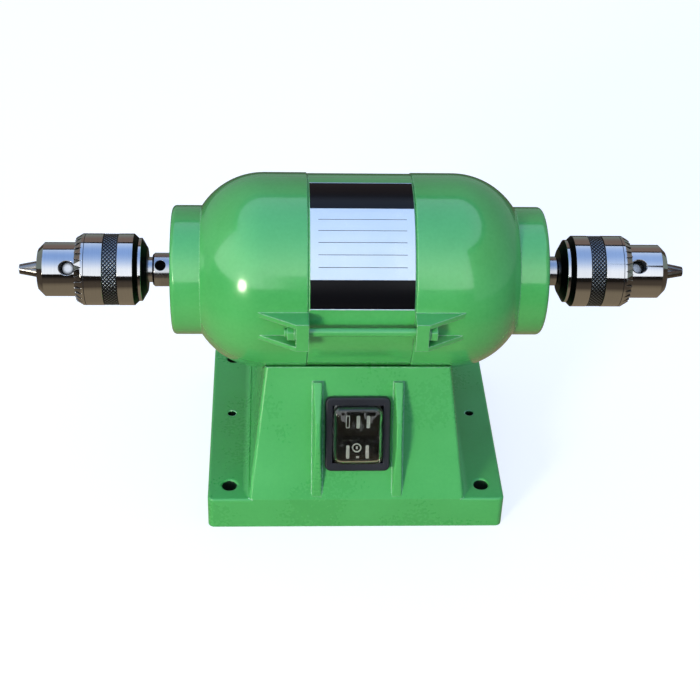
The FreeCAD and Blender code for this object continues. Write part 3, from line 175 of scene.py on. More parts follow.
@dataclass(frozen=True)
class Finish:
    """One real material: its colours, its gloss and the marks on its surface.

    Attributes:
        name: Common name of the material.
        pale: Lighter colour, sRGB hex.
        deep: Darker colour, sRGB hex.
        gloss: Lowest and highest roughness.
        metallic: 1 for bare metal, 0 for anything else.
        ior: Index of refraction where the material isn't metal.
        coat: Weight of a clear coat over it.
        shine: Level of the mirror image on top; 0.5 is plain.
        grain: How the fine marks run.
        mark: Width of the fine marks in mm.
        relief: Depth of the fine marks in mm.
        cloud: Width of the slow changes of colour and gloss in mm.
        edge: Radius in mm to which the sharp edges look broken.
        wear: Colour of the pale edges, partly rubbed paint and partly a painted highlight, sRGB hex, or an
            empty text for none.
        pit: Colour of the painted shade down in gaps and holes, sRGB hex, or an empty text for none.
        pit_reach: Distance in mm within which a facing wall makes a gap that gets painted shade.
    """

    name: str
    pale: str
    deep: str
    gloss: tuple[float, float] = (0.3, 0.45)
    metallic: float = 0.0
    ior: float = 1.5
    coat: float = 0.0
    shine: float = 0.5
    grain: Grain = Grain.EVEN
    mark: float = 0.6
    relief: float = 0.004
    cloud: float = 25.0
    edge: float = 0.25
    wear: str = ""
    pit: str = ""
    pit_reach: float = 3.0

    def material(self) -> bpy.types.Material:
        """Make the material.

        Returns:
            A material whose surface is this finish.
        """
        made = bpy.data.materials.new(self.name)
        tree = cleared(made)
        place = add_node(tree, "TexCoord").outputs["Object"]
        filled = self.sockets(tree, place)
        # Painted shade in the gaps and holes of the surface itself.
        if self.pit:
            filled["Base Color"] = self.pitted(tree, filled["Base Color"])
        shader = add_node(tree, "BsdfPrincipled", {}, filled)
        add_node(tree, "OutputMaterial", {}, {"Surface": shader.outputs[0]})
        return made

    def sockets(self, tree: Tree, place: Socket) -> dict[str, Any]:
        """Work out what goes into the shader.

        Args:
            tree: Node tree of the material.
            place: Object coordinates.

        Returns:
            Values and links by the name of the shader's input.
        """
        run = add_node(tree, "Mapping", {}, {"Vector": place, "Scale": self.grain.value})
        marks = add_node(tree, "TexNoise", {}, {
            "Vector": run.outputs[0], "Scale": 1 / (self.mark * MM), "Detail": 2.0}).outputs["Fac"]
        cloud = add_node(tree, "TexNoise", {}, {
            "Vector": place, "Scale": 1 / (self.cloud * MM), "Detail": 4.0}).outputs["Fac"]
        mixed = add_node(tree, "Math", {"operation": "MULTIPLY_ADD"},
                         {0: marks, 1: MARK_SHARE, 2: cloud}).outputs[0]
        rough = add_node(tree, "MapRange", {}, {
            "Value": mixed, "From Min": PATTERN_ENDS[0], "From Max": PATTERN_ENDS[1],
            "To Min": self.gloss[0], "To Max": self.gloss[1]}).outputs[0]
        round_edge = add_node(tree, "Bevel", {"samples": 6}, {"Radius": self.edge * MM}).outputs[0]
        bump = add_node(tree, "Bump", {}, {
            "Strength": 1.0, "Distance": self.relief * MM, "Height": marks, "Normal": round_edge})
        stops = tuple(zip(PATTERN_ENDS, (self.deep, self.pale)))
        colour = add_node(tree, "ValToRGB", {"stops": stops}, {0: mixed}).outputs[0]
        # Pale edges: partly rubbed paint, partly a painted highlight.
        if self.wear:
            colour = self.worn(tree, colour, marks, round_edge)
        filled = {"Base Color": colour, "Metallic": self.metallic, "Roughness": rough,
                  "Normal": bump.outputs[0]}
        if not self.metallic:
            filled.update({"IOR": self.ior, "Specular IOR Level": self.shine})
        if self.coat:
            filled.update({"Coat Weight": self.coat, "Coat Roughness": self.gloss[0] / 2,
                           "Coat Normal": bump.outputs[0]})
        return filled

    def worn(self, tree: Tree, colour: Socket, marks: Socket, round_edge: Socket) -> Socket:
        """Paint the edges pale, where the rounded normal leaves the flat one, in broken patches: partly
        rubbed paint and partly a painted highlight.

        Args:
            tree: Node tree of the material.
            colour: Colour of the whole surface.
            marks: Pattern of the fine marks, which breaks up the pale edges.
            round_edge: Normal with the edges rounded.

        Returns:
            The colour socket.
        """
        flat = add_node(tree, "NewGeometry").outputs["Normal"]
        same = add_node(tree, "VectorMath", {"operation": "DOT_PRODUCT"}, {0: flat, 1: round_edge})
        edge_share = add_node(tree, "MapRange", {}, {
            "Value": same.outputs["Value"], "From Min": EDGE_WEAR_AND_HIGHLIGHT_ENDS[0], "From Max": EDGE_WEAR_AND_HIGHLIGHT_ENDS[1],
            "To Min": 0.0, "To Max": EDGE_WEAR_AND_HIGHLIGHT_STRENGTH})
        broken = add_node(tree, "Math", {"operation": "MULTIPLY"}, {0: edge_share.outputs[0], 1: marks})
        mix = add_node(tree, "Mix", {"data_type": "RGBA"},
                       {0: broken.outputs[0], 6: colour, 7: linear(self.wear)})
        return mix.outputs[2]

    def pitted(self, tree: Tree, colour: Socket) -> Socket:
        """Paint shade into the gaps and holes, where the surface itself shuts out most of the sky.

        Args:
            tree: Node tree of the material.
            colour: Colour of the whole surface.

        Returns:
            The colour socket.
        """
        clear = add_node(tree, "AmbientOcclusion", {"samples": 8, "only_local": True},
                         {"Distance": self.pit_reach * MM}).outputs["AO"]
        deep = add_node(tree, "MapRange", {}, {
            "Value": clear, "From Min": GAP_SHADE_ENDS[0], "From Max": GAP_SHADE_ENDS[1],
            "To Min": 0.0, "To Max": 1.0}).outputs[0]
        mix = add_node(tree, "Mix", {"data_type": "RGBA"}, {0: deep, 6: colour, 7: linear(self.pit)})
        return mix.outputs[2]


@dataclass(frozen=True)
class MarkedFinish(Finish):
    """A finish with areas of another colour and gloss.

    Attributes:
        dull: Roughness of those areas.
    """

    dull: float = 0.5

    def areas(self, tree: Tree, place: Socket) -> list[Area]:
        """Find the areas.

        Args:
            tree: Node tree of the material.
            place: Object coordinates.

        Returns:
            For each area two sockets that are both 1 inside it, and its hex colour.
        """
        raise NotImplementedError

    def sockets(self, tree: Tree, place: Socket) -> dict[str, Any]:
        """Paint each area over what every finish has.

        Args:
            tree: Node tree of the material.
            place: Object coordinates.

        Returns:
            Values and links by the name of the shader's input.
        """
        filled = super().sockets(tree, place)
        for one, other, code in self.areas(tree, place):
            inside = add_node(tree, "Math", {"operation": "MULTIPLY"}, {0: one, 1: other}).outputs[0]
            filled["Base Color"] = add_node(tree, "Mix", {"data_type": "RGBA"}, {
                0: inside, 6: filled["Base Color"], 7: linear(code)}).outputs[2]
            filled["Roughness"] = add_node(tree, "Mix", {}, {
                0: inside, 2: filled["Roughness"], 3: self.dull}).outputs[0]
        return filled


@dataclass(frozen=True)
class BandedFinish(MarkedFinish):
    """A turned piece on the shaft's line with zones of another colour.

    Attributes:
        start: Distance of the piece's inner end from the middle of the motor in mm.
        zones: Each zone's first and last distance from that end, its least and greatest distance from
            the shaft's line, all in mm, and its hex colour.
    """

    start: float = 0.0
    zones: tuple[tuple[float, float, float, float, str], ...] = ()

    def areas(self, tree: Tree, place: Socket) -> list[Area]:
        """Find the zones by the distances along the shaft and from its line.

        Args:
            tree: Node tree of the material.
            place: Object coordinates.

        Returns:
            For each zone two sockets that are both 1 inside it, and its hex colour.
        """
        along = add_node(tree, "SeparateXYZ", {}, {0: place}).outputs["X"]
        reach = add_node(tree, "Math", {"operation": "ABSOLUTE"}, {0: along}).outputs[0]
        centred = add_node(tree, "Mapping", {}, {
            "Vector": place, "Location": (0.0, 0.0, -AXIS_HEIGHT * MM), "Scale": (0.0, 1.0, 1.0)}).outputs[0]
        radius = add_node(tree, "VectorMath", {"operation": "LENGTH"}, {0: centred}).outputs["Value"]
        found = []
        for first, last, low, high, code in self.zones:
            band = add_node(tree, "Math", {"operation": "COMPARE"}, {
                0: reach, 1: (self.start + (first + last) / 2) * MM, 2: (last - first) / 2 * MM}).outputs[0]
            shell = add_node(tree, "Math", {"operation": "COMPARE"}, {
                0: radius, 1: (low + high) / 2 * MM, 2: (high - low) / 2 * MM}).outputs[0]
            found.append((band, shell, code))
        return found


@dataclass(frozen=True)
class BoredEnamel(MarkedFinish):
    """Enamel on a casting with painted shade inside its upright holes.

    Attributes:
        bores: Distance of each kind of hole from the middle across and along, and its radius, in mm.
        slack: Distance in mm past the radius that still counts as the hole's wall.
        depth: Height in mm under which the holes get painted shade.
        shadow: Colour of the painted shade inside the holes, sRGB hex.
    """

    bores: tuple[tuple[float, float, float], ...] = ()
    slack: float = 0.1
    depth: float = 16.8
    shadow: str = "#0f2a16"

    def areas(self, tree: Tree, place: Socket) -> list[Area]:
        """Find what lies nearer to a hole's own line than its radius, below the rim.

        Args:
            tree: Node tree of the material.
            place: Object coordinates.

        Returns:
            For each hole two sockets that are both 1 inside it, and its hex colour.
        """
        folded = add_node(tree, "VectorMath", {"operation": "ABSOLUTE"}, {0: place}).outputs[0]
        height = add_node(tree, "SeparateXYZ", {}, {0: place}).outputs["Z"]
        below = add_node(tree, "Math", {"operation": "LESS_THAN"}, {0: height, 1: self.depth * MM}).outputs[0]
        found = []
        for across, along, radius in self.bores:
            centred = add_node(tree, "Mapping", {}, {
                "Vector": folded, "Location": (-across * MM, -along * MM, 0.0),
                "Scale": (1.0, 1.0, 0.0)}).outputs[0]
            away = add_node(tree, "VectorMath", {"operation": "LENGTH"}, {0: centred}).outputs["Value"]
            near = add_node(tree, "Math", {"operation": "LESS_THAN"},
                            {0: away, 1: (radius + self.slack) * MM}).outputs[0]
            # Painted shade inside each hole, below the rim.
            found.append((near, below, self.shadow))
        return found


@dataclass(frozen=True)
class PrintedFoil(MarkedFinish):
    """A printed foil plate bent round the motor: a pale field with ruled lines between two dark bands.

    Attributes:
        ink: Colour of the bands, sRGB hex.
        field: Lower and upper end of the pale field, in degrees above the front horizontal.
        ends: Lower and upper end of the printed area in degrees.
        half_width: Half the printed width in mm.
        rules: Places of the thin ruled lines in degrees.
        rule_half: Half the width of a ruled line in degrees.
        rule_reach: Half the length of a ruled line in mm.
    """

    ink: str = "#0c0c0e"
    field: tuple[float, float] = (28.1, 70.4)
    ends: tuple[float, float] = (11.3, 93.2)
    half_width: float = 23.7
    rules: tuple[float, ...] = (35.0, 42.0, 49.0, 56.0, 63.0)
    rule_half: float = 0.16
    rule_reach: float = 20.0

    def areas(self, tree: Tree, place: Socket) -> list[Area]:
        """Find the print by the angle round the shaft, the arctangent of height over reach to the front.

        Args:
            tree: Node tree of the material.
            place: Object coordinates.

        Returns:
            For each band or line two sockets that are both 1 inside it, and its hex colour.
        """
        axes = add_node(tree, "SeparateXYZ", {}, {0: place}).outputs
        rise = add_node(tree, "Math", {"operation": "SUBTRACT"},
                        {0: axes["Z"], 1: AXIS_HEIGHT * MM}).outputs[0]
        front = add_node(tree, "Math", {"operation": "MULTIPLY"}, {0: axes["Y"], 1: -1.0}).outputs[0]
        angle = add_node(tree, "Math", {"operation": "ARCTAN2"}, {0: rise, 1: front}).outputs[0]
        prints = [(self.ends[0], self.field[0], self.half_width),
                  (self.field[1], self.ends[1], self.half_width)]
        prints += [(rule - self.rule_half, rule + self.rule_half, self.rule_reach) for rule in self.rules]
        found = []
        for start, end, reach in prints:
            high = add_node(tree, "Math", {"operation": "COMPARE"}, {
                0: angle, 1: math.radians((start + end) / 2), 2: math.radians((end - start) / 2)}).outputs[0]
            wide = add_node(tree, "Math", {"operation": "COMPARE"}, {
                0: axes["X"], 1: 0.0, 2: reach * MM}).outputs[0]
            found.append((high, wide, self.ink))
        return found


@dataclass(frozen=True)
class ClearVinyl(Finish):
    """A clear moulded cap that lets the light through."""

    def sockets(self, tree: Tree, place: Socket) -> dict[str, Any]:
        """Add see-through to what every finish has.

        Args:
            tree: Node tree of the material.
            place: Object coordinates.

        Returns:
            Values and links by the name of the shader's input.
        """
        return {**super().sockets(tree, place), "Transmission Weight": 1.0}


# Sprayed gloss enamel over a casting: deep green, a sharp mirror of the sky, slightly uneven like peel, with
# edges painted pale, partly as rubbed paint and partly as a painted highlight.
ENAMEL = Finish("gloss_enamel", "#52b25c", "#47a551", gloss=(0.16, 0.26), ior=1.62, coat=1.0, mark=1.6,
                relief=0.006, cloud=38.0, edge=0.7, wear="#a9dcae")
# The same enamel on the base, sprayed thinner: a little duller, with painted shade inside the bolt holes, and
# edges painted pale, partly as rubbed paint and partly as a painted highlight.
BASE_ENAMEL = BoredEnamel("gloss_enamel_on_base", "#52b25c", "#47a551", gloss=(0.24, 0.34), coat=0.4,
                          mark=1.6, relief=0.008, cloud=38.0, edge=0.9, wear="#d2f2dc", dull=0.6,
                          bores=((61.2, 51.2, 3.5), (61.2, 4.0, 2.2)))
# The enamel in the coves, which runs on into the casting with no edge to rub, so with no painted pale edge.
COVE_ENAMEL = replace(BASE_ENAMEL, name="gloss_enamel_in_coves", edge=0.02, wear="")
# Zinc-plated steel: bluish grey with a faint frosty spangle.
ZINC = Finish("zinc_plated_steel", "#c2c6ca", "#9a9fa6", gloss=(0.28, 0.42), metallic=1.0, mark=1.2)
# Printed aluminium foil: a pale satin field that picks up the sky, between glossy black bands.
FOIL = PrintedFoil("printed_aluminium_foil", "#d0dde4", "#c4d4dd", gloss=(0.2, 0.3), shine=0.25, mark=0.5,
                   relief=0.002, dull=0.22)
# Stacked electrical steel: dull grey with a fine line for every sheet.
LAMINATIONS = Finish("electrical_steel_sheets", "#83868b", "#5b5e63", gloss=(0.4, 0.55), metallic=1.0,
                     grain=Grain.STACKED, mark=0.5, relief=0.03)
# Enamelled copper wire: reddish brown strands under varnish.
COPPER = Finish("enamelled_copper_wire", "#b0683c", "#7c3d1f", gloss=(0.25, 0.4), metallic=0.8, mark=0.9,
                relief=0.08)
# Cast aluminium: light grey with a fine sandy skin.
ALUMINIUM = Finish("cast_aluminium", "#c9cbcd", "#a5a8ab", gloss=(0.35, 0.5), metallic=1.0, mark=0.8,
                   relief=0.02)
# Turned steel: bright with fine rings from the lathe.
TURNED_STEEL = Finish("turned_steel", "#cdcfd2", "#a9adb3", gloss=(0.12, 0.22), metallic=1.0,
                      grain=Grain.TURNED, mark=0.35, relief=0.002)
# Polished hardened steel: a mirror with faint rings, with painted shade darkening its gaps, holes and tooth
# notches, and painted dark zones listed below.
CHUCK_STEEL = BandedFinish("polished_chuck_steel", "#d3d5d9", "#c3c6cb", gloss=(0.04, 0.09), metallic=1.0,
                           grain=Grain.TURNED, mark=0.4, relief=0.0006, pit="#1b1e22", pit_reach=2.5)
# Painted dark reflection on the sleeve's rear chamfer, which faces back at the motor, and a thin darker
# scribed line near the teeth.
SLEEVE_DARK_REFLECTION_AND_LINE_ZONES = ((4.0, 6.2, 13.0, 18.0, "#0b0c0e"), (28.7, 29.0, 16.5, 18.0, "#3a3d42"))
# Painted dark reflection on the body's rear cone, and painted shade in the key holes and the front bore.
BODY_PAINTED_REFLECTION_AND_SHADE_ZONES = ((-1.0, 2.5, 0.0, 18.0, "#0e0f13"), (31.0, 47.9, 7.6, 12.3, "#0d0f12"))
# Black-oxide steel, rubbed to grey on the points of the knurl; the zone between the points is painted
# blue-black, both for the oxide left there and as painted shade down between the points.
BLACK_OXIDE = BandedFinish("black_oxide_steel", "#9ba6b1", "#636d76", gloss=(0.26, 0.36), metallic=1.0,
                           mark=0.5, relief=0.01, zones=((0.0, 40.0, 16.0, 16.78, "#1c2127"),))
# Blackened set screw: almost no light comes back from its socket.
BLACK_SCREW = Finish("blackened_set_screw", "#0f1013", "#08090a", gloss=(0.5, 0.65), metallic=1.0, mark=0.4)
# Hardened jaw steel: grey-brown and ground.
JAW_STEEL = Finish("hardened_jaw_steel", "#b1b0ae", "#77746f", gloss=(0.15, 0.3), metallic=1.0, mark=0.4,
                   relief=0.002)
# Ground bearing steel: an even mirror.
BEARING_STEEL = Finish("ground_bearing_steel", "#d4d6d9", "#bcc0c5", gloss=(0.06, 0.12), metallic=1.0,
                       mark=0.3, relief=0.0005)
# Bare brass: warm yellow with light tarnish.
BRASS = Finish("bare_brass", "#d6b56a", "#a98443", gloss=(0.2, 0.35), metallic=1.0, mark=0.8)
# Moulded rubber: matt and nearly black with a dusty bloom.
RUBBER = Finish("moulded_rubber", "#2b2b2c", "#171718", gloss=(0.6, 0.8), ior=1.52, mark=0.5, relief=0.02)
# Moulded nylon: black with a slight blue and a satin skin, and edges painted grey, partly as rubbed plastic
# and partly as a painted highlight.
BLACK_NYLON = Finish("moulded_black_nylon", "#24262d", "#16181e", gloss=(0.3, 0.42), ior=1.53, mark=0.4,
                     relief=0.006, edge=0.5, wear="#50525a")
# Gloss ABS: nearly black and smooth.
GLOSS_ABS = Finish("gloss_black_abs", "#151618", "#0c0d0e", gloss=(0.2, 0.3), ior=1.54, mark=0.6,
                   relief=0.002)
# White pad print on plastic: chalky white and slightly raised.
WHITE_PRINT = Finish("white_pad_print", "#fbfcfa", "#f1f2f0", gloss=(0.4, 0.55), ior=1.5, mark=0.3,
                     relief=0.004)
# Clear soft vinyl: glassy with slow dents that bend the light.
VINYL = ClearVinyl("clear_soft_vinyl", "#f6faf9", "#e6efee", gloss=(0.02, 0.06), ior=1.6, shine=1.0, mark=9.0,
                   relief=0.5)
# White moulded can: smooth and slightly yellow.
CAN_PLASTIC = Finish("white_moulded_plastic", "#e4e4df", "#d5d5ce", gloss=(0.25, 0.35), ior=1.5, mark=0.8)
# Natural nylon: milky and dull.
NATURAL_NYLON = Finish("natural_nylon", "#e3e0d3", "#d2cdbc", gloss=(0.4, 0.55), ior=1.53, mark=0.8,
                       relief=0.01)
# Silicone lead covering: dull brick red.
SILICONE = Finish("red_silicone", "#a2382f", "#7d211b", gloss=(0.5, 0.65), ior=1.43, mark=0.6, relief=0.008)

SLOT_FINISH: dict[str, Finish] = {
    "green_enamel": ENAMEL,
    "steel_plate": ZINC,
    "printed_foil": FOIL,
    "lamination_steel": LAMINATIONS,
    "copper_winding": COPPER,
    "cast_aluminium": ALUMINIUM,
    "shaft_steel": TURNED_STEEL,
    "chuck_steel": CHUCK_STEEL,
    "dark_jaw_steel": JAW_STEEL,
    "bearing_steel": BEARING_STEEL,
    "brass_tab": BRASS,
    "black_rubber": RUBBER,
    "black_plastic": BLACK_NYLON,
    "rocker_plastic": GLOSS_ABS,
    "clear_pvc": VINYL,
    "capacitor_can": CAN_PLASTIC,
    "block_plastic": NATURAL_NYLON,
    "lead_insulation": SILICONE,
}
NODE_FINISH: dict[str, Finish] = {
    "base_casting": BASE_ENAMEL,
    "adapter_set_screws": BLACK_SCREW,
}


class Paintshop:
    """Makes each finish's material once and puts it on pieces."""

    def __init__(self) -> None:
        """Start with no materials made."""
        self.made: dict[Finish, bpy.types.Material] = {}

    def coat(self, thing: bpy.types.Object, finish: Finish) -> None:
        """Give a piece one finish.

        Args:
            thing: Mesh object.
            finish: Finish that it gets.
        """
        if finish not in self.made:
            self.made[finish] = finish.material()
        thing.data.materials.clear()
        thing.data.materials.append(self.made[finish])

    def coat_nodes(self) -> None:
        """Give every node of the model the finish of its slot, or one of its own."""
        for part in frame["record"]["subparts"]:
            node = part["node"]
            finish = NODE_FINISH.get(node, SLOT_FINISH[part["material_slot"]])
            self.coat(frame["nodes"][node], finish)
            LOG.info("node %s: %s", node, finish.name)


@dataclass(frozen=True)
class Sheet:
    """A grid of surface points in mm.

    Attributes:
        points: Rows of columns of points.
        rows_close: Whether the last row joins the first.
        columns_close: Whether the last column joins the first.
    """

    points: np.ndarray
    rows_close: bool = False
    columns_close: bool = True

    def faces(self) -> np.ndarray:
        """Four corners of each cell of the grid.

        Returns:
            Numbers of points, four to a row.
        """
        rows, columns = self.points.shape[:2]
        row, column = np.meshgrid(np.arange(rows - (not self.rows_close)),
                                  np.arange(columns - (not self.columns_close)), indexing="ij")
        below, beside = (row + 1) % rows, (column + 1) % columns
        corners = (row * columns + column, row * columns + beside,
                   below * columns + beside, below * columns + column)
        return np.stack(corners, axis=-1).reshape(-1, 4)


class Workshop:
    """Turns surfaces into pieces of the model."""

    def __init__(self, paint: Paintshop) -> None:
        """Keep the paintshop.

        Args:
            paint: Paintshop that coats the pieces.
        """
        self.paint = paint

    def piece(self, name: str, sheets: list[Sheet], body: str, finish: Finish) -> bpy.types.Object:
        """Make one piece from closed surfaces and let it ride on a body.

        Args:
            name: Name of the piece.
            sheets: Its surfaces; rows that shrink to a point become poles.
            body: Body that it moves with.
            finish: Finish that it shows.

        Returns:
            The piece's object.
        """
        starts = np.cumsum([0] + [sheet.points.shape[0] * sheet.points.shape[1] for sheet in sheets])
        points = np.concatenate([sheet.points.reshape(-1, 3) for sheet in sheets]) * MM
        quads = np.concatenate([sheet.faces() + start for sheet, start in zip(sheets, starts)])
        mesh = bpy.data.meshes.new(name)
        mesh.vertices.add(len(points))
        mesh.vertices.foreach_set("co", points.ravel())
        mesh.loops.add(quads.size)
        mesh.loops.foreach_set("vertex_index", quads.ravel())
        mesh.polygons.add(len(quads))
        mesh.polygons.foreach_set("loop_start", np.arange(0, quads.size, 4))
        mesh.update(calc_edges=True)
        form = bmesh.new()
        form.from_mesh(mesh)
        bmesh.ops.remove_doubles(form, verts=form.verts, dist=WELD * MM)
        bmesh.ops.recalc_face_normals(form, faces=form.faces)
        form.to_mesh(mesh)
        form.free()
        mesh.polygons.foreach_set("use_smooth", np.ones(len(mesh.polygons), dtype=bool))
        mesh.set_sharp_from_angle(angle=math.radians(SHARP))
        thing = bpy.data.objects.new(name, mesh)
        bpy.context.scene.collection.objects.link(thing)
        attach(thing, body)
        self.paint.coat(thing, finish)
        LOG.info("piece %s: %d faces, rides on %s", name, len(mesh.polygons), body)
        return thing


def rounded_oblong(half_x: np.ndarray, half_y: np.ndarray, count: int,
                   power: float) -> tuple[np.ndarray, np.ndarray]:
    """Outlines between an ellipse and a rectangle: |x/a|^n + |y/b|^n = 1.

    Args:
        half_x: Half widths a, one for each outline.
        half_y: Half heights b, one for each outline.
        count: Points on each outline.
        power: The exponent n; 2 is an ellipse and more is squarer.

    Returns:
        x and y of the points, a row for each outline.
    """
    turn = np.linspace(0, 2 * np.pi, count, endpoint=False) + np.pi / count
    x = np.sign(np.cos(turn)) * np.abs(np.cos(turn)) ** (2 / power)
    y = np.sign(np.sin(turn)) * np.abs(np.sin(turn)) ** (2 / power)
    return np.outer(half_x, x), np.outer(half_y, y)


@dataclass
class Chuck:
    """The finish of one chuck, and the knurled grip of its sleeve.

    Attributes:
        side: End of the shaft.
        grip: Distance of the grip's inner and outer edge from the chuck's inner end.
        floor: Radius at the bottom of the knurl.
        crest: Radius at its points.
        root: Radius at which it sits in the sleeve.
        diamonds: Points round the grip.
        rows: Points across it.
        steps: Steps of the grid to a diamond.
        run_out: Share of the width over which the knurl rises at each edge.
    """

    side: Side
    grip: tuple[float, float] = (13.35, 20.35)
    floor: float = 16.68
    crest: float = 16.98
    root: float = 16.5
    diamonds: int = 54
    rows: int = 4
    steps: int = 10
    run_out: float = 0.05

    @property
    def start(self) -> float:
        """Distance of the chuck's inner end from the middle of the motor."""
        return min(abs(corner[0]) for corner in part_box(f"{self.side.label}_chuck_body")) / MM

    def build(self, shop: Workshop) -> None:
        """Polish the body and the sleeve, and make the grip.

        Args:
            shop: Workshop that makes the piece.
        """
        # The zones paint dark reflection and shade onto the body and the sleeve.
        for part, zones in (("body", BODY_PAINTED_REFLECTION_AND_SHADE_ZONES), ("sleeve", SLEEVE_DARK_REFLECTION_AND_LINE_ZONES)):
            node = f"{self.side.label}_chuck_{part}"
            finish = replace(CHUCK_STEEL, name=f"{CHUCK_STEEL.name}_{self.side.label}_{part}",
                             start=self.start, zones=zones)
            shop.paint.coat(frame["nodes"][node], finish)
        finish = replace(BLACK_OXIDE, name=f"{BLACK_OXIDE.name}_{self.side.label}", start=self.start)
        shop.piece(f"{self.side.label}_knurled_grip", [self.knurl()], f"{self.side.label}_sleeve",
                   finish)

    def knurl(self) -> Sheet:
        """A ring whose radius rises to a point where two families of spirals cross.

        With a and b as the turn plus and minus the place across the grip, each family is a triangle
        wave of a or b, and the height is the lower of the two waves.

        Returns:
            The closed surface.
        """
        around = np.linspace(0, 2 * np.pi, self.diamonds * self.steps, endpoint=False)
        across = np.linspace(0, 1, self.rows * self.steps + 1)
        turn, place = np.meshgrid(around, across)
        spread = turn * self.diamonds / (2 * np.pi)
        waves = [np.abs((spread + sign * place * self.rows) % 1 * 2 - 1) for sign in (1, -1)]
        rim = np.clip(np.minimum(place, 1 - place) / self.run_out, 0, 1)
        radius = self.floor + (self.crest - self.floor) * np.minimum(*waves) * rim
        reach = self.start + self.grip[0] + (self.grip[1] - self.grip[0]) * place
        inner = np.full_like(radius[:1], self.root)
        radius = np.concatenate([inner, radius, inner])
        reach = np.concatenate([reach[:1], reach, reach[-1:]])
        turn = np.concatenate([turn[:1], turn, turn[-1:]])
        points = np.stack([self.side.value * reach, radius * np.cos(turn),
                           AXIS_HEIGHT + radius * np.sin(turn)], axis=-1)
        return Sheet(points, rows_close=True)


@dataclass
class Panel:
    """A leaning wall of the tower: x across, s up the slope and n out of it.

    Attributes:
        foot: Distance of the wall's foot from the middle.
        height: Height of the foot.
        lean: Angle of the wall from upright, in radians.
        rear: Whether it is the wall at the back.
    """

    foot: float = 62.0
    height: float = 17.5
    lean: float = math.atan2(25.8, 60.1)
    rear: bool = False

    def points(self, x: np.ndarray, s: np.ndarray, n: np.ndarray) -> np.ndarray:
        """Turn places on the wall into points of the model.

        Args:
            x: Places across.
            s: Places up the slope.
            n: Heights above the wall.

        Returns:
            Points in mm.
        """
        front = -self.foot + s * math.sin(self.lean) - n * math.cos(self.lean)
        up = self.height + s * math.cos(self.lean) + n * math.sin(self.lean)
        turn = -1 if self.rear else 1
        return np.stack(np.broadcast_arrays(turn * x, turn * front, up), axis=-1)


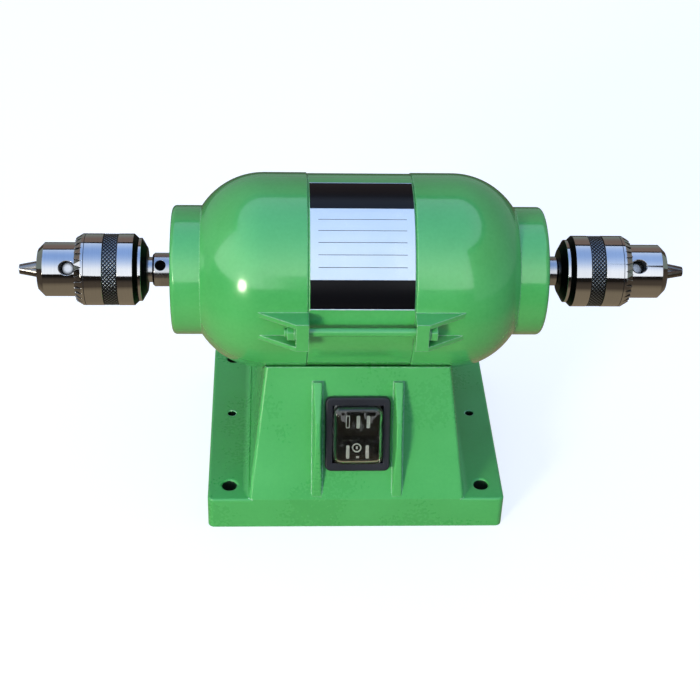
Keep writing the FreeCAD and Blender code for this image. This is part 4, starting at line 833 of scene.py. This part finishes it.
@dataclass
class RockerSwitch:
    """The clear cap over the rocker, and the white marks on it.

    Attributes:
        panel: Wall that carries the switch.
        middle: Place of the switch up the wall.
        cap_half: Half the cap's width and length.
        cap_foot: Height of the cap's rim above the wall.
        cap_top: Height of its crown.
        cap_wall: Thickness of the vinyl.
        cap_shoulder: Share of the half width that the rounded shoulder takes.
        cap_crown: Rise of the top's middle over its edge.
        tilt: Slope of each half of the rocker, and its turn at rest, in radians.
        ridge: Height of the rocker's middle line over the wall before it turns.
        pin: Depth of the rocker's pin.
        mark_height: Rise of the marks over the rocker.
        mark_sink: Depth of the marks in the rocker.
    """

    panel: Panel
    middle: float = 33.3
    cap_half: tuple[float, float] = (11.9, 14.1)
    cap_foot: float = 0.5
    cap_top: float = 7.2
    cap_wall: float = 0.9
    cap_shoulder: float = 0.16
    cap_crown: float = 0.9
    tilt: float = math.radians(8.8)
    ridge: float = 1.7
    pin: float = 4.0
    mark_height: float = 0.12
    mark_sink: float = 0.1

    def build(self, shop: Workshop) -> None:
        """Make the cap and the marks.

        Args:
            shop: Workshop that makes the pieces.
        """
        cap = shop.piece("switch_cap", [self.cap_sheet()], "frame", VINYL)
        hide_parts("switch_cover")
        shop.piece("switch_marks", self.mark_sheets(), "rocker", WHITE_PRINT)

    def cap_profile(self, wall: float, count: int = 14) -> tuple[np.ndarray, np.ndarray]:
        """Profile of one skin of the cap: up the side, round a quarter ellipse, then a shallow crown.

        Args:
            wall: Distance of the skin inside the outer one.
            count: Points on each of the three stretches.

        Returns:
            Shares of the half width, from 1 at the side to 0 in the middle, and heights.
        """
        top = self.cap_top - wall
        edge = top - self.cap_crown
        bend = self.cap_shoulder * self.cap_half[0]
        turn = np.linspace(0, np.pi / 2, count)
        flat = np.linspace(1 - self.cap_shoulder, 0, count + 1)[1:]
        share = np.concatenate([[1.0, 1.0], 1 - self.cap_shoulder * (1 - np.cos(turn)), flat])
        height = np.concatenate([[self.cap_foot, (self.cap_foot + edge - bend) / 2],
                                 edge - bend * (1 - np.sin(turn)),
                                 top - self.cap_crown * (flat / (1 - self.cap_shoulder)) ** 2])
        return share, height

    def cap_sheet(self) -> Sheet:
        """The outer and the inner skin of the cap, joined at the rim, each a rounded oblong at every height.

        Returns:
            The closed surface.
        """
        shares, heights, insets = [], [], []
        for wall, order in ((0.0, -1), (self.cap_wall, 1)):
            share, height = self.cap_profile(wall)
            shares.append(share[::order])
            heights.append(height[::order])
            insets.append(np.full(len(share), wall))
        share, height, inset = (np.concatenate(parts) for parts in (shares, heights, insets))
        x, y = rounded_oblong(share * (self.cap_half[0] - inset), share * (self.cap_half[1] - inset), 96, 9.0)
        return Sheet(self.panel.points(x, self.middle + y, height[:, None]))

    def on_rocker(self, x: np.ndarray, along: np.ndarray, rise: np.ndarray, upper: bool) -> np.ndarray:
        """Turn places on a half of the rocker into points of the model.

        Args:
            x: Places across.
            along: Distances from the rocker's middle line.
            rise: Heights above the rocker.
            upper: Whether it is the upper half.

        Returns:
            Points in mm.
        """
        way = 1 if upper else -1
        y = way * (along * math.cos(self.tilt) - rise * math.sin(self.tilt))
        z = self.ridge + self.pin + along * math.sin(self.tilt) + rise * math.cos(self.tilt)
        s = y * math.cos(self.tilt) - z * math.sin(self.tilt)
        n = y * math.sin(self.tilt) + z * math.cos(self.tilt) - self.pin
        return self.panel.points(x, self.middle + s, n)

    def bar(self, x: float, along: float, width: float, length: float, upper: bool) -> Sheet:
        """A flat bar: a rounded oblong that shrinks to a point below and on top.

        Args:
            x: Middle of the bar across the rocker.
            along: Middle of the bar from the rocker's middle line.
            width: Width of the bar.
            length: Length of the bar.
            upper: Whether it is on the upper half.

        Returns:
            The closed surface.
        """
        share = np.array([0.0, 1.0, 1.0, 0.0])
        rise = np.array([-self.mark_sink, -self.mark_sink, self.mark_height, self.mark_height])
        across, up = rounded_oblong(share * width / 2, share * length / 2, 40, 8.0)
        return Sheet(self.on_rocker(x + across, along + up, rise[:, None], upper))

    def hoop(self, x: float, along: float, half: tuple[float, float], line: float, power: float,
             upper: bool) -> Sheet:
        """A closed line: a small ellipse carried round a rounded oblong.

        Args:
            x: Middle of the hoop across the rocker.
            along: Middle of the hoop from the rocker's middle line.
            half: Half width and half height of its outline.
            line: Half the width of the line.
            power: Squareness of the outline.
            upper: Whether it is on the upper half.

        Returns:
            The closed surface.
        """
        turn = np.linspace(0, 2 * np.pi, 8, endpoint=False)
        out = line * np.cos(turn)
        across, up = rounded_oblong(half[0] + out, half[1] + out, 48, power)
        rise = self.mark_height * np.sin(turn)
        return Sheet(self.on_rocker(x + across, along + up, rise[:, None], upper), rows_close=True)

    def mark_sheets(self) -> list[Sheet]:
        """Three strokes for on, and for off a ring round a stroke and over a dash, between two strokes.

        Returns:
            The closed surfaces.
        """
        return [
            self.hoop(-4.9, 7.9, (0.75, 3.3), 0.22, 8.0, True),
            self.bar(0.0, 7.8, 1.6, 7.0, True),
            self.bar(4.8, 7.9, 1.6, 6.8, True),
            self.bar(-4.7, 7.9, 1.6, 6.4, False),
            self.bar(4.6, 7.9, 1.6, 6.4, False),
            self.hoop(-0.4, 5.9, (1.95, 1.95), 0.32, 2.0, False),
            self.bar(-0.4, 5.9, 0.9, 1.5, False),
            self.bar(0.0, 10.5, 1.4, 0.8, False),
        ]


@dataclass
class Pedestal:
    """Casting coves at the foot of the tower's sides, and the grip of the cord gland.

    Attributes:
        rear: Rear wall, which carries the gland.
        foot: Distance of the tower's side from the middle, at the flange.
        flange: Height of the flange's top.
        side_lean: Angle of the tower's side from upright, in radians.
        cove: Radius of the cove.
        sink: Depth of the cove's back in the casting.
        run_out: Distance of the cove's ends from the walls, and length over which it runs out.
        gland_at: Place of the gland up the rear wall.
        gland_radius: Radius of its head.
        grip: Start and end of the ribbed grip over the wall.
        ribs: Number of the ribs.
        rib_height: Height of a rib.
    """

    rear: Panel
    foot: float = 51.8
    flange: float = 17.5
    side_lean: float = math.atan2(7.8, 60.1)
    cove: float = 3.2
    sink: float = 0.3
    run_out: tuple[float, float] = (1.2, 6.0)
    gland_at: float = 24.0
    gland_radius: float = 8.6
    grip: tuple[float, float] = (1.2, 6.2)
    ribs: int = 20
    rib_height: float = 0.5

    def build(self, shop: Workshop) -> None:
        """Make the coves and the grip.

        Args:
            shop: Workshop that makes the pieces.
        """
        for side in Side:
            shop.piece(f"{side.label}_foot_cove", [self.cove_sheet(side)], "frame",
                       COVE_ENAMEL)
        shop.piece("gland_grip", [self.grip_sheet()], "frame", BLACK_NYLON)

    def cove_sheet(self, side: Side) -> Sheet:
        """A quarter hollow between flange and wall, carried along the foot, that runs out at both ends.

        Across, the hollow is an arc that leaves the flange level and meets the leaning side; its back
        lies in the casting. Along, each height ends where the front and rear walls are at that height,
        and over the last stretch the section shrinks towards the crease.

        Args:
            side: Side of the tower.

        Returns:
            The closed surface.
        """
        turn = np.linspace(0, np.pi / 2 - self.side_lean, 9)
        out = self.cove * (1 - np.sin(turn))
        up = self.cove * (1 - np.cos(turn))
        back = -self.sink - self.cove * math.tan(self.side_lean)
        out = np.concatenate([out, [back, -self.sink, self.cove]])
        up = np.concatenate([up, [self.cove * 0.8, -self.sink, -self.sink]])
        lean = math.tan(self.rear.lean)
        ends = self.rear.foot - self.run_out[0] - np.clip(up, 0, None) * lean
        size = np.array([0.0, 0.15, 1.0, 1.0, 0.15, 0.0])
        way = np.array([-1.0, -1.0, -1.0, 1.0, 1.0, 1.0])
        taper = np.array([0.0, 0.0, self.run_out[1], self.run_out[1], 0.0, 0.0])
        along = (ends[:, None] - taper) * way
        along[:, [0, -1]] = along[:, [0, -1]].mean(axis=0)
        x = np.outer(out, size)
        z = np.outer(up, size)
        points = np.stack([side.value * (self.foot + x), along, self.flange + z], axis=-1)
        return Sheet(points, rows_close=True, columns_close=False)

    def grip_sheet(self) -> Sheet:
        """A ring on the gland's head whose radius goes up and down round it in rounded ribs.

        Returns:
            The closed surface.
        """
        turn = np.linspace(0, 2 * np.pi, self.ribs * 8, endpoint=False)
        rib = np.abs(np.cos(turn * self.ribs / 2)) ** 0.5 * self.rib_height
        start, end = self.grip
        height = np.array([start, start, start + 0.5, end - 0.5, end, end])
        raised = np.array([0.0, 0.4, 1.0, 1.0, 0.4, 0.0])
        low = np.array([-0.3, 0.05, 0.05, 0.05, 0.05, -0.3])
        radius = self.gland_radius + low[:, None] + np.outer(raised, rib)
        points = self.rear.points(radius * np.cos(turn), self.gland_at + radius * np.sin(turn),
                                  height[:, None])
        return Sheet(points, rows_close=True)


@dataclass(frozen=True)
class PhotoCamera:
    """The camera at the photograph's place.

    Attributes:
        azimuth: Turn of the camera about the object in degrees.
        elevation: Angle of the camera above the horizon in degrees.
        roll: Turn of the picture in degrees.
        distance: Distance from the target.
        target: Point in the middle of the picture.
        focal: Focal length in pixels.
        image: Width of the picture in pixels.
        sensor: Width of the camera's sensor.
    """

    azimuth: float = -3.64
    elevation: float = 36.5
    roll: float = 2.23
    distance: float = 751.65
    target: tuple[float, float, float] = (-2.04, 0.0, 60.96)
    focal: float = 1514.09
    image: float = 700.0
    sensor: float = 36.0

    def build(self) -> None:
        """Make the camera and let the scene use it."""
        roll = math.radians(self.roll)
        back = heading(self.azimuth, self.elevation)
        level = (-back).cross(Vector((0, 0, 1))).normalized()
        over = level.cross(-back)
        right = level * math.cos(roll) + over * math.sin(roll)
        up = over * math.cos(roll) - level * math.sin(roll)
        place = (Vector(self.target) + back * self.distance) * MM
        lens = bpy.data.cameras.new("photo_camera")
        lens.sensor_width = self.sensor
        lens.lens = self.focal / self.image * self.sensor
        lens.clip_start = 0.01
        thing = bpy.data.objects.new("photo_camera", lens)
        turned = Matrix((right, up, back)).transposed().to_4x4()
        thing.matrix_world = Matrix.Translation(place) @ turned
        bpy.context.scene.collection.objects.link(thing)
        bpy.context.scene.camera = thing
        LOG.info("camera at %s", tuple(round(part, 4) for part in place))


@dataclass(frozen=True)
class Lamp:
    """A soft round lamp that looks at the motor.

    Attributes:
        name: Name of the lamp.
        azimuth: Turn about the object in degrees, 0 at the front and 90 at the right.
        elevation: Angle above the horizon in degrees.
        distance: Distance in metres.
        size: Width in metres.
        power: Power in watts.
        colour: Colour of its light, sRGB hex.
        mirrored: Whether glossy surfaces show it.
        lighting: Whether it lights matt surfaces.
        aim: Height in metres of the point that it looks at.
    """

    name: str
    azimuth: float
    elevation: float
    distance: float
    size: float
    power: float
    colour: str
    mirrored: bool = True
    lighting: bool = True
    aim: float = 0.08

    def build(self) -> None:
        """Put the lamp in the scene."""
        back = heading(self.azimuth, self.elevation)
        light = bpy.data.lights.new(self.name, "AREA")
        light.shape = "DISK"
        light.size = self.size
        light.energy = self.power
        light.color = linear(self.colour)[:3]
        thing = bpy.data.objects.new(self.name, light)
        thing.location = back * self.distance + Vector((0, 0, self.aim))
        thing.rotation_euler = back.to_track_quat("Z", "Y").to_euler()
        thing.visible_glossy = self.mirrored
        thing.visible_diffuse = self.lighting
        bpy.context.scene.collection.objects.link(thing)
        LOG.info("lamp %s", self.name)


@dataclass(frozen=True)
class Card:
    """An upright curved card round the object that shows only in reflections, as a studio has for metal.

    Attributes:
        name: Name of the card.
        azimuth: Direction of its middle in degrees, 0 at the front and 90 at the right.
        spread: Angle from its middle to each end in degrees.
        distance: Distance from the object in metres.
        height: Height in metres.
        colours: Places as shares of the height, and colours, from the ground up.
    """

    name: str
    azimuth: float
    spread: float
    distance: float
    height: float
    colours: Stops

    def build(self) -> None:
        """Make the card: an arc of points at one distance, carried straight up."""
        turn = np.radians(self.azimuth + np.linspace(-self.spread, self.spread, 65))
        low = self.distance * np.stack([np.sin(turn), -np.cos(turn), np.zeros_like(turn)], axis=-1)
        points = np.stack([low, low + np.array([0.0, 0.0, self.height])])
        mesh = bpy.data.meshes.new(self.name)
        faces = Sheet(points, columns_close=False).faces()
        mesh.from_pydata(points.reshape(-1, 3).tolist(), [], faces.tolist())
        mesh.materials.append(glowing(self.name, self.colours, self.height, upright=True))
        thing = bpy.data.objects.new(self.name, mesh)
        bpy.context.scene.collection.objects.link(thing)
        only_mirrored(thing)
        LOG.info("card %s", self.name)


def glowing(name: str, colours: Stops, reach: float, upright: bool) -> bpy.types.Material:
    """Make a material that glows, in a colour that follows the height or the distance from the middle.

    Args:
        name: Name of the material.
        colours: Places as shares of the reach, and colours.
        reach: Height or distance of the last place in metres.
        upright: Whether the colour follows the height.

    Returns:
        The material.
    """
    made = bpy.data.materials.new(name)
    tree = cleared(made)
    place = add_node(tree, "TexCoord").outputs["Object"]
    if upright:
        far = add_node(tree, "SeparateXYZ", {}, {0: place}).outputs["Z"]
    else:
        far = add_node(tree, "VectorMath", {"operation": "LENGTH"}, {0: place}).outputs["Value"]
    share = add_node(tree, "Math", {"operation": "DIVIDE"}, {0: far, 1: reach}).outputs[0]
    ramp = add_node(tree, "ValToRGB", {"stops": colours}, {0: share})
    glow = add_node(tree, "Emission", {}, {"Color": ramp.outputs[0], "Strength": 1.0})
    add_node(tree, "OutputMaterial", {}, {"Surface": glow.outputs[0]})
    return made


def only_mirrored(thing: bpy.types.Object) -> None:
    """Let a piece of the stage show in reflections, and in those behind the clear cap, alone.

    Args:
        thing: Sheet or card.
    """
    for ray in ("camera", "diffuse", "volume_scatter", "shadow"):
        setattr(thing, "visible_" + ray, False)


@dataclass(frozen=True)
class Studio:
    """A pale floor under a soft sky, with a brown sheet and cards that only show in reflections.

    Attributes:
        floor_reach: Half the width of the floor in metres.
        floor: Colour of the floor in the light that it throws back.
        glow: Light of the floor where it is seen.
        shade: How strongly the floor shows a shadow.
        sheet: Places as shares of the reach, and colours, of the brown sheet from the object outwards.
        sheet_reach: Radius of the sheet in metres.
        sheet_lift: Height of the sheet over the floor in metres.
        sky: Places as heights from 0 to 1, and colours, of the sky in reflections.
        sky_mirror: Strength of the sky in reflections.
        daylight: Colour of the light from the sky.
        daylight_level: Strength of the light from the sky.
        lamps: The lamps.
        cards: The cards.
    """

    floor_reach: float = 8.0
    floor: str = "#aba295"
    glow: float = 0.68
    shade: float = 0.5
    sheet: Stops = ((0.0, "#8f8069"), (0.05, "#8d7e67"), (0.075, "#564b3f"), (0.25, "#453c33"),
                    (0.7, "#352e27"), (1.0, "#241f1a"))
    sheet_reach: float = 4.0
    sheet_lift: float = 0.0002
    sky: Stops = ((0.0, "#ffffff"), (0.55, "#f2f6fb"), (0.66, "#e3ebf8"), (0.86, "#b3c8ea"),
                  (1.0, "#86a6da"))
    sky_mirror: float = 1.45
    daylight: str = "#b0cdff"
    daylight_level: float = 1.12
    lamps: tuple[Lamp, ...] = (
        Lamp("key_lamp", -34.0, 12.0, 1.6, 0.34, 19.5, "#fff5e0", mirrored=False),
        Lamp("gleam_lamp", -34.0, 12.0, 1.59, 0.34, 5.5, "#fff5e0", lighting=False),
    )
    cards: tuple[Card, ...] = (
        Card("front_card", 0.0, 105.0, 3.9, 0.9, ((0.0, "#241f1a"), (0.85, "#1d1a16"), (1.0, "#12110f"))),
        Card("middle_card", 2.6, 4.0, 1.2, 0.7, ((0.0, "#241f1a"), (1.0, "#12110f"))),
        Card("rear_card", 149.5, 122.5, 1.6, 2.35, ((0.0, "#86938a"), (0.25, "#858079"), (0.45, "#86746a"),
                                                    (0.8, "#86746a"), (0.84, "#161413"))),
    )

    def build(self) -> None:
        """Make the floor, the brown sheet, the cards, the sky and the lamps."""
        scene = bpy.context.scene
        scene.view_settings.view_transform = "Standard"
        self.disc("studio_floor", self.floor_reach, 0.0, self.floor_material())
        brown = glowing("brown_sheet", self.sheet, self.sheet_reach, upright=False)
        only_mirrored(self.disc("brown_sheet", self.sheet_reach, self.sheet_lift, brown))
        scene.world = self.sky_world()
        for item in (*self.cards, *self.lamps):
            item.build()

    @staticmethod
    def disc(name: str, reach: float, height: float, material: bpy.types.Material) -> bpy.types.Object:
        """Make a flat round sheet of the stage: a polygon of points at one distance.

        Args:
            name: Name of the sheet.
            reach: Its radius in metres.
            height: Its height in metres.
            material: Material of the sheet.

        Returns:
            The sheet's object.
        """
        turn = np.linspace(0, 2 * np.pi, 96, endpoint=False)
        rim = np.stack([reach * np.cos(turn), reach * np.sin(turn), np.full_like(turn, height)], axis=-1)
        mesh = bpy.data.meshes.new(name)
        mesh.from_pydata(rim.tolist(), [], [list(range(len(rim)))])
        mesh.materials.append(material)
        thing = bpy.data.objects.new(name, mesh)
        bpy.context.scene.collection.objects.link(thing)
        return thing

    def floor_material(self) -> bpy.types.Material:
        """Floor that is white where it is seen, with a soft shadow, and pale in the light it throws back.

        Returns:
            The material.
        """
        made = bpy.data.materials.new("pale_floor")
        tree = cleared(made)
        plain = add_node(tree, "BsdfDiffuse", {}, {"Color": linear(self.floor)})
        glow = add_node(tree, "Emission", {}, {"Color": linear("#ffffff"), "Strength": self.glow})
        shade = add_node(tree, "BsdfDiffuse", {}, {"Color": (self.shade,) * 3 + (1.0,)})
        seen = add_node(tree, "AddShader", {}, {0: glow.outputs[0], 1: shade.outputs[0]})
        path = add_node(tree, "LightPath").outputs
        mirror = add_node(tree, "Math", {"operation": "MAXIMUM"},
                          {0: path["Is Camera Ray"], 1: path["Is Glossy Ray"]})
        any_view = add_node(tree, "Math", {"operation": "MAXIMUM"},
                            {0: mirror.outputs[0], 1: path["Is Transmission Ray"]})
        mix = add_node(tree, "MixShader", {},
                       {0: any_view.outputs[0], 1: plain.outputs[0], 2: seen.outputs[0]})
        add_node(tree, "OutputMaterial", {}, {"Surface": mix.outputs[0]})
        return made

    def sky_world(self) -> bpy.types.World:
        """Sky that lights the object softly, shows as a blue and white sky in metal, and is white where seen.

        Returns:
            The world.
        """
        world = bpy.data.worlds.new("soft_sky")
        tree = cleared(world)
        way = add_node(tree, "TexCoord").outputs["Generated"]
        height = add_node(tree, "SeparateXYZ", {}, {0: way}).outputs["Z"]
        ramp = add_node(tree, "ValToRGB", {"stops": self.sky}, {0: height})
        mirror = add_node(tree, "Background", {}, {"Color": ramp.outputs[0], "Strength": self.sky_mirror})
        light = add_node(tree, "Background", {},
                         {"Color": linear(self.daylight), "Strength": self.daylight_level})
        seen = add_node(tree, "Background", {}, {"Color": linear("#ffffff"), "Strength": 1.0})
        path = add_node(tree, "LightPath").outputs
        glossy = add_node(tree, "MixShader", {},
                          {0: path["Is Glossy Ray"], 1: light.outputs[0], 2: mirror.outputs[0]})
        any_view = add_node(tree, "Math", {"operation": "MAXIMUM"},
                            {0: path["Is Camera Ray"], 1: path["Is Transmission Ray"]})
        mix = add_node(tree, "MixShader", {},
                       {0: any_view.outputs[0], 1: glossy.outputs[0], 2: seen.outputs[0]})
        add_node(tree, "OutputWorld", {}, {"Surface": mix.outputs[0]})
        return world


def main() -> None:
    """Dress the model, add its pieces and set the stage."""
    logging.basicConfig(level=logging.INFO, format="%(message)s")
    paint = Paintshop()
    paint.coat_nodes()
    shop = Workshop(paint)
    for side in Side:
        Chuck(side).build(shop)
    RockerSwitch(Panel()).build(shop)
    Pedestal(Panel(rear=True)).build(shop)
    PhotoCamera().build()
    Studio().build()


if __name__ == "__main__":
    main()
